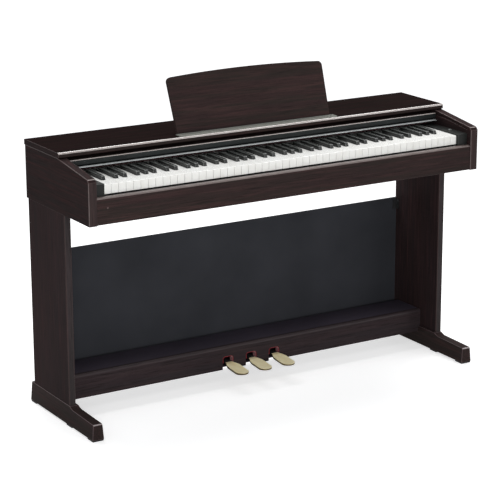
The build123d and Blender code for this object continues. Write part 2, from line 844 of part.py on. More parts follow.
# Circuit boards: the key contact strip on the frame, and the main board on posts.
board_thickness = 1.6
contact_board_depth = 34.0
contact_board_setback = 80.0   # in front of the pivot rod
contact_board_inset = 20.0
main_board_width = 320.0
main_board_depth = 80.0
main_board_rise = 6.0
main_board_z = bed_top_z + main_board_rise
post_width = 6.0
post_inset = 16.0
chip_width = 24.0
chip_height = 4.0
chip_x = -90.0
memory_x = 30.0
socket_strip_x = 110.0
with BuildPart() as circuit_boards:
    with BuildSketch(Plane.XY.offset(bed_top_z + frame_sheet)):
        with Locations((0, pivot_y - contact_board_setback)):
            Rectangle(2 * frame_half - contact_board_inset, contact_board_depth)
    extrude(amount=board_thickness)
    with BuildSketch(Plane.XY.offset(bed_top_z)):
        with Locations((0, speaker_y)):
            with GridLocations(main_board_width - post_inset, main_board_depth - post_inset, 2, 2):
                Rectangle(post_width, post_width)
    extrude(amount=main_board_z - bed_top_z)
    with BuildSketch(Plane.XY.offset(main_board_z)):
        with Locations((0, speaker_y)):
            Rectangle(main_board_width, main_board_depth)
    extrude(amount=board_thickness)
    with BuildSketch(Plane.XY.offset(main_board_z + board_thickness)):
        with Locations((chip_x, speaker_y), (memory_x, speaker_y + chip_width / 3)):
            Rectangle(chip_width, chip_width)
        with Locations((socket_strip_x, speaker_y)):
            Rectangle(2 * chip_width, chip_width / 2)
    extrude(amount=chip_height)
circuit_boards.part.label = "circuit_boards"
export_step(circuit_boards.part, "parts/circuit_boards.step")

# Headphone box: under the keybed at the bass end, with two jacks in its front.
jack_radius = 3.2
jack_depth = 15.0
jack_spacing = 26.0
jack_x = -(leg_inner_x - 50.0)
jack_z = bed_z - 14.0
jack_front_y = leg_front_y - 45.0
jack_box_width = 58.0
jack_box_depth = 52.0
jack_box_height = 26.0
jack_box_bevel = 2.0
with BuildPart() as headphone_box:
    with BuildSketch(Plane.XY.offset(bed_z)):
        with Locations((jack_x, jack_front_y)):
            Rectangle(jack_box_width, jack_box_depth, align=CENTRE_MIN)
    extrude(amount=-jack_box_height)
    chamfer(headphone_box.faces().sort_by(Axis.Z)[0].edges(), jack_box_bevel)
    with BuildSketch(Plane.XZ.offset(-jack_front_y)):
        with Locations((jack_x - jack_spacing / 2, jack_z), (jack_x + jack_spacing / 2, jack_z)):
            Circle(jack_radius)
    extrude(amount=-jack_depth, mode=Mode.SUBTRACT)
headphone_box.part.label = "headphone_box"
export_step(headphone_box.part, "parts/headphone_box.step")

# =============================================================================
# Music rest
# =============================================================================

ledge_front_y = top_front_y + ledge_setback
ledge_rear_y = ledge_front_y + ledge_depth
rest_axis_y = ledge_rear_y + rest_hinge_gap
rest_axis_z = cabinet_height + rest_axis_height
lean_sin = sin(radians(rest_lean))
lean_cos = cos(radians(rest_lean))
rest_half = rest_thickness / 2
# Local x runs along the rest, y up its slope and z towards the player.
rest_plane = Plane(
    origin=(0, rest_axis_y, rest_axis_z),
    x_dir=(1, 0, 0),
    z_dir=(0, -lean_cos, lean_sin),
)
hinge_places = (-rest_hinge_spacing / 2, rest_hinge_spacing / 2)
stay_places = (-stay_spacing / 2, stay_spacing / 2)

# Music ledge: a ribbed strip that music stands on.
with BuildPart() as music_ledge:
    with BuildSketch(Plane.XY.offset(cabinet_height)):
        with Locations((0, ledge_front_y)):
            Rectangle(ledge_width, ledge_depth, align=CENTRE_MIN)
    extrude(amount=ledge_thickness)
    with BuildSketch(Plane.XY.offset(cabinet_height + ledge_thickness)):
        with Locations((0, ledge_front_y + ledge_depth / 2)):
            with GridLocations(0, ledge_rib_pitch, 1, ledge_rib_count):
                Rectangle(ledge_width, ledge_rib_width)
    extrude(amount=ledge_rib)
music_ledge.part.label = "music_ledge"
export_step(music_ledge.part, "parts/music_ledge.step")

# Music rest: a thin board with an arched top, and pockets for its hinges in its back.
with BuildPart() as music_rest:
    with BuildSketch(rest_plane.offset(-rest_half)) as rest_face:
        low = -rest_axis_rise
        high = rest_side_height - rest_axis_rise
        with BuildLine():
            Polyline(
                (-rest_width_high / 2, high),
                (-rest_width_low / 2, low),
                (rest_width_low / 2, low),
                (rest_width_high / 2, high),
            )
            ThreePointArc(
                (rest_width_high / 2, high), (0, high + rest_arch), (-rest_width_high / 2, high)
            )
        make_face()
        fillet(rest_face.vertices().group_by(Axis.Y)[-1], rest_corner)
    extrude(amount=rest_thickness)
    with BuildSketch(rest_plane.offset(-rest_half)):
        with Locations(*[(x, low - past) for x in hinge_places]):
            Rectangle(
                rest_hinge_width + 2 * hinge_end_gap,
                past + rest_axis_rise + hinge_pocket_rise,
                align=CENTRE_MIN,
            )
    extrude(amount=hinge_pocket_depth, mode=Mode.SUBTRACT)
    for hinge_x in hinge_places:
        bore_half = rest_hinge_width / 2 + hinge_end_gap + hinge_pin_length
        with BuildSketch(Plane.YZ.offset(hinge_x - bore_half)):
            with Locations((rest_axis_y, rest_axis_z)):
                Circle(rest_pin_radius + rest_pin_clearance)
        extrude(amount=2 * bore_half, mode=Mode.SUBTRACT)
music_rest.part.label = "music_rest"
export_step(music_rest.part, "parts/music_rest.step")

# Rest hinges: a foot plate and a post, with a pin out of each end of its head.
with BuildPart() as rest_hinges:
    for hinge_x in hinge_places:
        with BuildSketch(Plane.YZ.offset(hinge_x - rest_hinge_width / 2)) as hinge_face:
            with Locations((rest_axis_y, cabinet_height)):
                Rectangle(2 * hinge_knuckle, rest_axis_height + hinge_knuckle, align=CENTRE_MIN)
            chamfer(hinge_face.vertices().group_by(Axis.Y)[-1], hinge_knuckle_bevel)
            with Locations((rest_axis_y - hinge_knuckle, cabinet_height)):
                Rectangle(hinge_plate, hinge_plate_thickness, align=(Align.MIN, Align.MIN))
        extrude(amount=rest_hinge_width)
        with BuildSketch(Plane.YZ.offset(hinge_x - rest_hinge_width / 2 - hinge_pin_length)):
            with Locations((rest_axis_y, rest_axis_z)):
                Circle(rest_pin_radius)
        extrude(amount=rest_hinge_width + 2 * hinge_pin_length)
rest_hinges.part.label = "rest_hinges"
export_step(rest_hinges.part, "parts/rest_hinges.step")

# The stays hang behind the rest, and their feet stand just clear of the top board.
stay_y = rest_axis_y + stay_rise * lean_sin + (rest_half + stay_offset) * lean_cos
stay_z = rest_axis_z + stay_rise * lean_cos - (rest_half + stay_offset) * lean_sin
stay_angle = degrees(acos((stay_z - cabinet_height - stay_foot_gap) / stay_length))
stay_sin = sin(radians(stay_angle))
stay_cos = cos(radians(stay_angle))
stay_pin_radius = 0.9
stay_pin_clearance = 0.1
stay_barrel_radius = 1.7
lug_thickness = 1.6
lug_height = 9.0
lug_gap = 0.6
stay_window_place = 50.0       # from the pivot to the middle of the window
stay_window_length = 50.0
stay_window_width = 15.0
stay_window_bevel = 4.0
# Local y runs down a stay from its pivot, and z away from the player.
stay_plane = Plane(origin=(0, stay_y, stay_z), x_dir=(1, 0, 0), z_dir=(0, stay_cos, stay_sin))

# Rest lugs: pairs of small lugs on the back of the rest, each pair with its pin.
with BuildPart() as rest_lugs:
    lug_plane = rest_plane.offset(-rest_half)
    lug_x = stay_width / 2 + lug_gap
    for middle in stay_places:
        for side in (-1, 1):
            with BuildSketch(lug_plane):
                with Locations((middle + side * (lug_x + lug_thickness / 2), stay_rise)):
                    Rectangle(lug_thickness, lug_height)
            extrude(amount=-(stay_offset + stay_barrel_radius))
        with BuildSketch(Plane.YZ.offset(middle - lug_x)):
            with Locations((stay_y, stay_z)):
                Circle(stay_pin_radius)
        extrude(amount=2 * lug_x)
rest_lugs.part.label = "rest_lugs"
export_step(rest_lugs.part, "parts/rest_lugs.step")

# Rest supports: two pierced steel stays, each with a rolled barrel at its top.
with BuildPart() as rest_supports:
    with BuildSketch(stay_plane.offset(-stay_thickness / 2)):
        with Locations(*[(x, 0) for x in stay_places]):
            Rectangle(stay_width, stay_length, align=CENTRE_MIN)
    extrude(amount=stay_thickness)
    with BuildSketch(stay_plane.offset(-stay_thickness / 2)) as windows:
        with Locations(*[(x, stay_window_place) for x in stay_places]):
            Rectangle(stay_window_width, stay_window_length)
        chamfer(windows.vertices(), stay_window_bevel)
    extrude(amount=stay_thickness, mode=Mode.SUBTRACT)
    for middle in stay_places:
        with BuildSketch(Plane.YZ.offset(middle - stay_width / 2)):
            with Locations((stay_y, stay_z)):
                Circle(stay_barrel_radius)
        extrude(amount=stay_width)
        with BuildSketch(Plane.YZ.offset(middle - stay_width / 2)):
            with Locations((stay_y, stay_z)):
                Circle(stay_pin_radius + stay_pin_clearance)
        extrude(amount=stay_width, mode=Mode.SUBTRACT)
rest_supports.part.label = "rest_supports"
export_step(rest_supports.part, "parts/rest_supports.step")

# =============================================================================
# Stand
# =============================================================================

foot_slope_length = 30.0       # front of the leg to the toe's long slope
foot_slope_rise = 3.2
foot_step_gap = 3.0
foot_step_sagitta = 2.2
foot_edge_bevel = 2.0
foot_slope_y = leg_front_y - foot_slope_length
foot_slope_z = foot_toe_height + foot_slope_rise


def make_leg(side):
    """Leg board between the foot and the side panel, with bevelled upright edges."""
    with BuildPart() as leg:
        with BuildSketch(Plane.XY.offset(foot_height)):
            with Locations((side * (leg_x + leg_inner_x) / 2, leg_front_y)):
                Rectangle(leg_thickness, leg_depth, align=CENTRE_MIN)
        extrude(amount=case_z - foot_height)
        chamfer(leg.edges().filter_by(Axis.Z).group_by(Axis.Y)[0], leg_bevel)
    return leg


def make_foot(side):
    """Foot rail: drafted sides, level under the leg, a hollow step down to a sloping toe."""
    step_y = leg_front_y - foot_step_gap
    with BuildPart() as foot:
        with BuildSketch(Plane.YZ.offset(side * foot_x)):
            with BuildLine():
                Polyline(
                    (step_y, foot_height),
                    (rear_y - foot_end_draft, foot_height),
                    (rear_y, pad_thickness),
                    (foot_front_y, pad_thickness),
                    (foot_front_y + foot_end_draft, foot_toe_height),
                    (foot_slope_y, foot_slope_z),
                )
                SagittaArc((foot_slope_y, foot_slope_z), (step_y, foot_height), -foot_step_sagitta)
            make_face()
        extrude(amount=-side * foot_width)
        toe_face = foot.faces().sort_by(Axis.Y)[0]
        chamfer(toe_face.edges().sort_by(Axis.Z)[-1], foot_edge_bevel)
        with BuildSketch(Plane.XZ.offset(-rear_y)):
            with BuildLine():
                Polyline(
                    (side * foot_x, pad_thickness),
                    (side * (foot_x - foot_draft), foot_height),
                    (side * (foot_inner_x + foot_draft), foot_height),
                    (side * foot_inner_x, pad_thickness),
                    close=True,
                )
            make_face()
        extrude(amount=overall_depth, mode=Mode.INTERSECT)
    return foot


leg_left = make_leg(-1)
leg_left.part.label = "leg_left"
export_step(leg_left.part, "parts/leg_left.step")

leg_right = make_leg(1)
leg_right.part.label = "leg_right"
export_step(leg_right.part, "parts/leg_right.step")

foot_left = make_foot(-1)
foot_left.part.label = "foot_left"
export_step(foot_left.part, "parts/foot_left.step")

foot_right = make_foot(1)
foot_right.part.label = "foot_right"
export_step(foot_right.part, "parts/foot_right.step")

# Foot pads: three under each foot.
pad_inset = 0.8
pad_width = foot_width - 2 * pad_inset
pad_length = 36.0
pad_bevel = 1.2
pad_middles = (
    foot_front_y + pad_length / 2 + pad_inset,
    leg_front_y - pad_inset,
    rear_y - pad_length / 2 - pad_inset,
)
with BuildPart() as foot_pads:
    with BuildSketch() as pad_outline:
        for pad_y in pad_middles:
            with Locations((foot_width / 2 - foot_x, pad_y), (foot_x - foot_width / 2, pad_y)):
                Rectangle(pad_width, pad_length)
        chamfer(pad_outline.vertices(), pad_bevel)
    extrude(amount=pad_thickness)
foot_pads.part.label = "foot_pads"
export_step(foot_pads.part, "parts/foot_pads.step")

# Leg brackets: steel angles that hold the legs to the keybed, with their screw heads.
angle_leg = 20.0
angle_sheet = 2.0
angle_length = 60.0
bracket_inset = 50.0           # from the front and the back of the leg
bracket_fit = 0.2
bolt_across = 4.5
bolt_head = 3.0
with BuildPart() as leg_brackets:
    for side in (-1, 1):
        for bracket_y in (leg_front_y + bracket_inset, leg_rear_y - bracket_inset):
            with BuildSketch(Plane.XZ.offset(-(bracket_y + angle_length / 2))):
                with BuildLine():
                    Polyline(
                        (side * leg_inner_x, case_z),
                        (side * (inner_x - bracket_fit), case_z),
                        (side * (inner_x - bracket_fit), bed_z),
                        (side * (leg_inner_x - angle_leg), bed_z),
                        (side * (leg_inner_x - angle_leg), bed_z - angle_sheet),
                        (side * (leg_inner_x - angle_sheet), bed_z - angle_sheet),
                        (side * (leg_inner_x - angle_sheet), bed_z - angle_leg),
                        (side * leg_inner_x, bed_z - angle_leg),
                        close=True,
                    )
                make_face()
            extrude(amount=angle_length)
            with BuildSketch(Plane.XY.offset(bed_z - angle_sheet)):
                with Locations((side * (leg_inner_x - angle_leg * 0.6), bracket_y)):
                    with GridLocations(0, angle_length * 0.6, 1, 2):
                        RegularPolygon(bolt_across, 6)
            extrude(amount=-bolt_head)
leg_brackets.part.label = "leg_brackets"
export_step(leg_brackets.part, "parts/leg_brackets.step")

# Back panel: a thin board between the legs, from behind the pedal box to mid height.
with BuildPart() as back_panel:
    with BuildSketch(Plane.XZ.offset(-(panel_y + panel_thickness))):
        with Locations((0, panel_bottom)):
            Rectangle(2 * leg_inner_x, panel_top - panel_bottom, align=CENTRE_MIN)
    extrude(amount=panel_thickness)
back_panel.part.label = "back_panel"
export_step(back_panel.part, "parts/back_panel.step")

# Panel brackets: angles at the panel's upper corners, with two screw heads each.
panel_bracket_height = 32.0
panel_bracket_reach = 15.0
panel_bracket_top = panel_top - 7.0
panel_screw_radius = 3.8
panel_screw_head = 2.4
with BuildPart() as panel_brackets:
    for side in (-1, 1):
        with BuildSketch(Plane.XY.offset(panel_bracket_top - panel_bracket_height)):
            with BuildLine():
                Polyline(
                    (side * leg_inner_x, panel_y),
                    (side * (leg_inner_x - panel_bracket_reach), panel_y),
                    (side * (leg_inner_x - panel_bracket_reach), panel_y - angle_sheet),
                    (side * (leg_inner_x - angle_sheet), panel_y - angle_sheet),
                    (side * (leg_inner_x - angle_sheet), panel_y - panel_bracket_reach),
                    (side * leg_inner_x, panel_y - panel_bracket_reach),
                    close=True,
                )
            make_face()
        extrude(amount=panel_bracket_height)
        screw_z = panel_bracket_top - panel_bracket_height / 2
        with BuildSketch(Plane.YZ.offset(side * (leg_inner_x - angle_sheet))):
            with Locations((panel_y - (panel_bracket_reach + angle_sheet) / 2, screw_z)):
                with GridLocations(0, panel_bracket_height * 0.55, 1, 2):
                    RegularPolygon(panel_screw_radius, 8)
        extrude(amount=-side * panel_screw_head)
panel_brackets.part.label = "panel_brackets"
export_step(panel_brackets.part, "parts/panel_brackets.step")

# =============================================================================
# Pedal box
# =============================================================================

pedal_names = {"soft_pedal": -pedal_pitch, "sostenuto_pedal": 0.0, "damper_pedal": pedal_pitch}
box_inner_y = box_front_y + box_front_board
notch_round = 9.0
foot_fit = 0.2


def foot_notch(side):
    """Outline, in X and Z, of what a foot takes from the end of a pedal box board."""
    foot_slant = foot_draft / (foot_height - pad_thickness)
    low_x = foot_inner_x - foot_fit + foot_slant * (box_clearance - past - pad_thickness)
    high_x = foot_inner_x - foot_fit + foot_draft
    return [
        (side * low_x, box_clearance - past),
        (side * high_x, foot_height),
        (side * (leg_inner_x + past), foot_height),
        (side * (leg_inner_x + past), box_clearance - past),
    ]



# Pedal box front: a board with a rounded upper edge, and three notches for the pedals.
with BuildPart() as pedal_box_front:
    with BuildSketch(Plane.XZ.offset(-box_inner_y)):
        with Locations((0, box_clearance)):
            Rectangle(2 * leg_inner_x, box_height, align=CENTRE_MIN)
        with Locations(*[(x, box_clearance) for x in pedal_names.values()]):
            Rectangle(notch_width, notch_top, align=CENTRE_MIN, mode=Mode.SUBTRACT)
    extrude(amount=box_front_board)
    for side in (-1, 1):
        with BuildSketch(Plane.XZ.offset(-box_inner_y)):
            with BuildLine():
                Polyline(*foot_notch(side), close=True)
            make_face()
        extrude(amount=box_front_board, mode=Mode.SUBTRACT)
    notch_tops = pedal_box_front.edges().filter_by(Axis.Y)
    notch_tops = notch_tops.filter_by_position(
        Axis.Z, box_clearance + notch_top - 0.5, box_clearance + notch_top + 0.5
    )
    fillet(notch_tops, notch_round)
    front_edges = pedal_box_front.edges().filter_by(Axis.X).group_by(Axis.Z)[-1]
    fillet(front_edges.sort_by(Axis.Y)[0], box_front_radius)
pedal_box_front.part.label = "pedal_box_front"
export_step(pedal_box_front.part, "parts/pedal_box_front.step")

# Pedal box shell: the top, rear and base boards, and cleats that the back panel is fixed to.
cleat_width = 60.0
cleat_height = 36.0
cleat_spacing = 480.0
cleat_z = (panel_bottom + box_top_z) / 2
with BuildPart() as pedal_box_shell:
    with BuildSketch(Plane.YZ.offset(-leg_inner_x)):
        with BuildLine():
            Polyline(
                (box_inner_y, box_top_z),
                (box_rear_y, box_top_z),
                (box_rear_y, box_clearance),
                (box_inner_y + box_base_gap, box_clearance),
                (box_inner_y + box_base_gap, box_clearance + box_base),
                (box_rear_y - box_board, box_clearance + box_base),
                (box_rear_y - box_board, box_top_z - box_board),
                (box_inner_y, box_top_z - box_board),
                close=True,
            )
        make_face()
    extrude(amount=2 * leg_inner_x)
    for side in (-1, 1):
        with BuildSketch(Plane.XZ.offset(-box_rear_y)):
            with BuildLine():
                Polyline(*foot_notch(side), close=True)
            make_face()
        extrude(amount=box_depth, mode=Mode.SUBTRACT)
    with BuildSketch(Plane.XZ.offset(-panel_y)):
        with Locations((0, cleat_z)):
            with GridLocations(cleat_spacing, 0, 3, 1):
                Rectangle(cleat_width, cleat_height)
    extrude(amount=panel_y - box_rear_y)
pedal_box_shell.part.label = "pedal_box_shell"
export_step(pedal_box_shell.part, "parts/pedal_box_shell.step")

# Pedal felts: lining of the upper part of each notch.
felt_drop = 21.0
with BuildPart() as pedal_felts:
    with BuildSketch(Plane.XZ.offset(-box_inner_y)) as felt_face:
        felt_z = box_clearance + notch_top
        with Locations(*[(x, felt_z) for x in pedal_names.values()]):
            Rectangle(notch_width, felt_drop, align=CENTRE_MAX)
        fillet(felt_face.vertices().group_by(Axis.Y)[-1], notch_round)
    extrude(amount=box_front_board)
    with BuildSketch(Plane.XZ.offset(-box_inner_y)) as felt_inside:
        with Locations(*[(x, felt_z - felt_thickness) for x in pedal_names.values()]):
            Rectangle(notch_width - 2 * felt_thickness, felt_drop, align=CENTRE_MAX)
        fillet(felt_inside.vertices().group_by(Axis.Y)[-1], notch_round - felt_thickness)
    extrude(amount=box_front_board, mode=Mode.SUBTRACT)
pedal_felts.part.label = "pedal_felts"
export_step(pedal_felts.part, "parts/pedal_felts.step")

# Pedal frame: a steel plate under the top board, with a pair of lugs and a pin for each pedal.
pedal_pivot_inset = 12.0       # from the rear board of the box
pedal_pivot_rise = 27.5
pedal_pivot_y = box_rear_y - box_board - pedal_pivot_inset
pedal_pivot_z = box_clearance + pedal_pivot_rise
pedal_lug_gap = 1.5
pedal_lug_thickness = 3.0
pedal_lug_half = 8.0
pedal_lug_bevel = 5.0
frame_plate = 3.0
frame_plate_depth = 46.0
frame_plate_reach = 35.0       # beyond the outer pedals
pedal_lug_x = pedal_arm / 2 + pedal_lug_gap
frame_plate_z = box_top_z - box_board
with BuildPart() as pedal_frame:
    with BuildSketch(Plane.XY.offset(frame_plate_z)):
        with Locations((0, box_rear_y - box_board - 1.0)):
            Rectangle(2 * (pedal_pitch + frame_plate_reach), frame_plate_depth, align=CENTRE_MAX)
    extrude(amount=-frame_plate)
    for pedal_x in pedal_names.values():
        for side in (-1, 1):
            lug_start = pedal_x + side * pedal_lug_x
            with BuildSketch(Plane.YZ.offset(lug_start)) as lug_face:
                with Locations((pedal_pivot_y, pedal_pivot_z - pedal_lug_half)):
                    lug_rise = frame_plate_z - frame_plate - pedal_pivot_z + pedal_lug_half
                    Rectangle(2 * pedal_lug_half, lug_rise, align=CENTRE_MIN)
                chamfer(lug_face.vertices().group_by(Axis.Y)[0], pedal_lug_bevel)
            extrude(amount=side * pedal_lug_thickness)
        with BuildSketch(Plane.YZ.offset(pedal_x - pedal_lug_x)):
            with Locations((pedal_pivot_y, pedal_pivot_z)):
                Circle(pedal_pin_radius)
        extrude(amount=2 * pedal_lug_x)
pedal_frame.part.label = "pedal_frame"
export_step(pedal_frame.part, "parts/pedal_frame.step")


def make_pedal(pedal_x):
    """Brass pedal: its plan, a blade with a round tip on a narrow arm, cut to a sloping profile."""
    tip_y = box_front_y - pedal_reach
    blade_radius = pedal_width / 2
    round_y = tip_y + blade_radius
    wide_y = round_y + 40.0
    neck_y = box_front_y + 10.0
    arm_y = neck_y + 12.0
    plan_height = 60.0
    plan_bottom = pedal_tip_height - plan_height / 3
    round_top_z = pedal_tip_height + 1.2
    with BuildPart() as pedal:
        with BuildSketch(Plane.XY.offset(plan_bottom)):
            with BuildLine():
                ThreePointArc(
                    (pedal_x - blade_radius, round_y),
                    (pedal_x, tip_y),
                    (pedal_x + blade_radius, round_y),
                )
                for side in (-1, 1):
                    blade_x = pedal_x + side * blade_radius
                    neck_x = pedal_x + side * pedal_neck / 2
                    arm_x = pedal_x + side * pedal_arm / 2
                    Line((blade_x, round_y), (blade_x, wide_y))
                    Bezier(
                        (blade_x, wide_y),
                        (blade_x, wide_y + 22.0),
                        (neck_x, neck_y - 26.0),
                        (neck_x, neck_y),
                    )
                    Line((neck_x, neck_y), (arm_x, arm_y))
                    Line((arm_x, arm_y), (arm_x, pedal_pivot_y))
                Line(
                    (pedal_x - pedal_arm / 2, pedal_pivot_y),
                    (pedal_x + pedal_arm / 2, pedal_pivot_y),
                )
            make_face()
        extrude(amount=plan_height)
        arm_top_z = pedal_pivot_z + 4.0
        neck_top_z = pedal_tip_height + pedal_slope * (neck_y - tip_y)
        with BuildSketch(Plane.YZ.offset(pedal_x - pedal_width)):
            with BuildLine():
                Polyline(
                    (tip_y - past, pedal_tip_height),
                    (round_y, round_top_z),
                    (neck_y, neck_top_z),
                    (pedal_pivot_y + past, arm_top_z),
                    (pedal_pivot_y + past, arm_top_z - pedal_thickness),
                    (neck_y, neck_top_z - pedal_thickness),
                    (round_y, round_top_z - pedal_thickness),
                    (tip_y - past, pedal_tip_height + 1.5 - pedal_thickness),
                    close=True,
                )
            make_face()
        extrude(amount=2 * pedal_width, mode=Mode.INTERSECT)
        with BuildSketch(Plane.YZ.offset(pedal_x - pedal_arm / 2)) as hub_face:
            with Locations((pedal_pivot_y, pedal_pivot_z)):
                Rectangle(2 * pedal_hub_half, 2 * pedal_hub_half)
            chamfer(hub_face.vertices(), pedal_hub_bevel)
        extrude(amount=pedal_arm)
        with BuildSketch(Plane.YZ.offset(pedal_x - pedal_arm / 2)):
            with Locations((pedal_pivot_y, pedal_pivot_z)):
                Circle(pedal_pin_radius + pedal_pin_clearance)
        extrude(amount=pedal_arm, mode=Mode.SUBTRACT)
    return pedal


for pedal_name, pedal_place in pedal_names.items():
    pedal = make_pedal(pedal_place)
    pedal.part.label = pedal_name
    export_step(pedal.part, f"parts/{pedal_name}.step")

# Axes and travels of what moves.
print("pivot rod", round(pivot_y, 3), round(pivot_z, 3), "dip", round(dip_angle, 3))
print("cover axis", round(cover_crown_y, 3), round(cover_axis_z, 3), "travel", round(cover_travel, 3))
print("rest axis", round(rest_axis_y, 3), round(rest_axis_z, 3))
print("stay axis", round(stay_y, 3), round(stay_z, 3), "angle", round(stay_angle, 3))
print("pedal pivot", round(pedal_pivot_y, 3), round(pedal_pivot_z, 3))
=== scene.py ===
"""Visual model of a home digital piano on its stand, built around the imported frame.

Boards, mouldings, keys and pedals are softened copies of the frame's nodes, small fittings are
modelled here, and every surface gets a finish made of nodes on object coordinates. Metres, +Z up.
"""

from __future__ import annotations

import json
import logging
import math
from dataclasses import dataclass, field
from enum import Enum

import bmesh
import bpy
from mathutils import Matrix, Vector

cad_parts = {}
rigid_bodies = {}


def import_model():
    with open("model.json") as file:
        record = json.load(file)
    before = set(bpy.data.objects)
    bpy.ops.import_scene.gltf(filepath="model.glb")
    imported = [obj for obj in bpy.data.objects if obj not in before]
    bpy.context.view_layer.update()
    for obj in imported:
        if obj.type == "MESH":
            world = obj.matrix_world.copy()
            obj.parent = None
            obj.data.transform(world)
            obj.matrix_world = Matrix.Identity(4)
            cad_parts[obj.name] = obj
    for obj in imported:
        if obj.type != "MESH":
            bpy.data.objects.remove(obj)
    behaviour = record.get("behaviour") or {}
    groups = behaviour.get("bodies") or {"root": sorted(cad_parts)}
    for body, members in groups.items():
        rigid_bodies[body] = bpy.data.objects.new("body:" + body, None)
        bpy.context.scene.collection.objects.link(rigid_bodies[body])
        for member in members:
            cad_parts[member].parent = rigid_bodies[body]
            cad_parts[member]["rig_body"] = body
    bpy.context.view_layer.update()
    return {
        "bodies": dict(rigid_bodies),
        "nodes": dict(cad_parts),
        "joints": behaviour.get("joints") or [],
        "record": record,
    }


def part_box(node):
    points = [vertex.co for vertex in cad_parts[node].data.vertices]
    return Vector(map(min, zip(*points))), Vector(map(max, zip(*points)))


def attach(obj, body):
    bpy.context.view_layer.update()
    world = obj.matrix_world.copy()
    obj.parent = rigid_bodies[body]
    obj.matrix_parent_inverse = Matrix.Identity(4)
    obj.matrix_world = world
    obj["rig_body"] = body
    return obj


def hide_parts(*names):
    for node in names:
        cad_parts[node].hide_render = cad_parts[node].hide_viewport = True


LOG = logging.getLogger("digital_piano")
MM = 0.001

Colour = tuple[float, float, float]
Triple = tuple[float, float, float]
Profile = tuple[tuple[float, float], ...]   # radius and height of each corner, in millimetres

TOWARDS_PLAYER = Vector((0.0, -1.0, 0.0))
AWAY = Vector((0.0, 1.0, 0.0))
DOWN = Vector((0.0, 0.0, -1.0))
UP = Vector((0.0, 0.0, 1.0))
LEFT = Vector((-1.0, 0.0, 0.0))
RIGHT = Vector((1.0, 0.0, 0.0))
UPPER_FRONT = Vector((0.0, -0.7, 0.7))

FAR = 9.0                   # metres, beyond the piano on every side
FLAT = 8.0                  # degrees by which a flat face may be turned
SHARP = 30.0                # degrees from which an edge is rounded
SMOOTH = 35.0               # degrees up to which an edge is shaded smoothly
FLATNESS = 0.4              # degrees up to which the frame's faces are merged
WELD = 0.005                # millimetres within which a copy's corners are merged
RING_WELD = 0.001           # the same for a turned ring
FINE = 3                    # faces across a rounding that is seen from near
COARSE = 2                  # and across any other

UNIT_SCALE = 1.0            # of every texture node, as its coordinates hold the scale
MIX_COLOURS = (6, 7)        # the two colour inputs of a mix node
MIX_RESULT = 2              # and its colour output


def from_srgb(red: int, green: int, blue: int) -> Colour:
    """Turns a display colour of 0 to 255 into a linear one."""
    shares = (level / 255 for level in (red, green, blue))
    return tuple(((s + 0.055) / 1.055) ** 2.4 if s > 0.04045 else s / 12.92 for s in shares)


def shaded(colour: Colour, shade: float) -> Colour:
    """Gives a lighter or darker colour."""
    return tuple(level * shade for level in colour)


def set_range(node: bpy.types.Node, numbers: tuple[float, ...]) -> None:
    """Sets the two ends that a map range node reads and the two that it gives."""
    for name, number in zip(("From Min", "From Max", "To Min", "To Max"), numbers):
        node.inputs[name].default_value = number


# ---------------------------------------------------------------------------------------------
# Finishes
# ---------------------------------------------------------------------------------------------


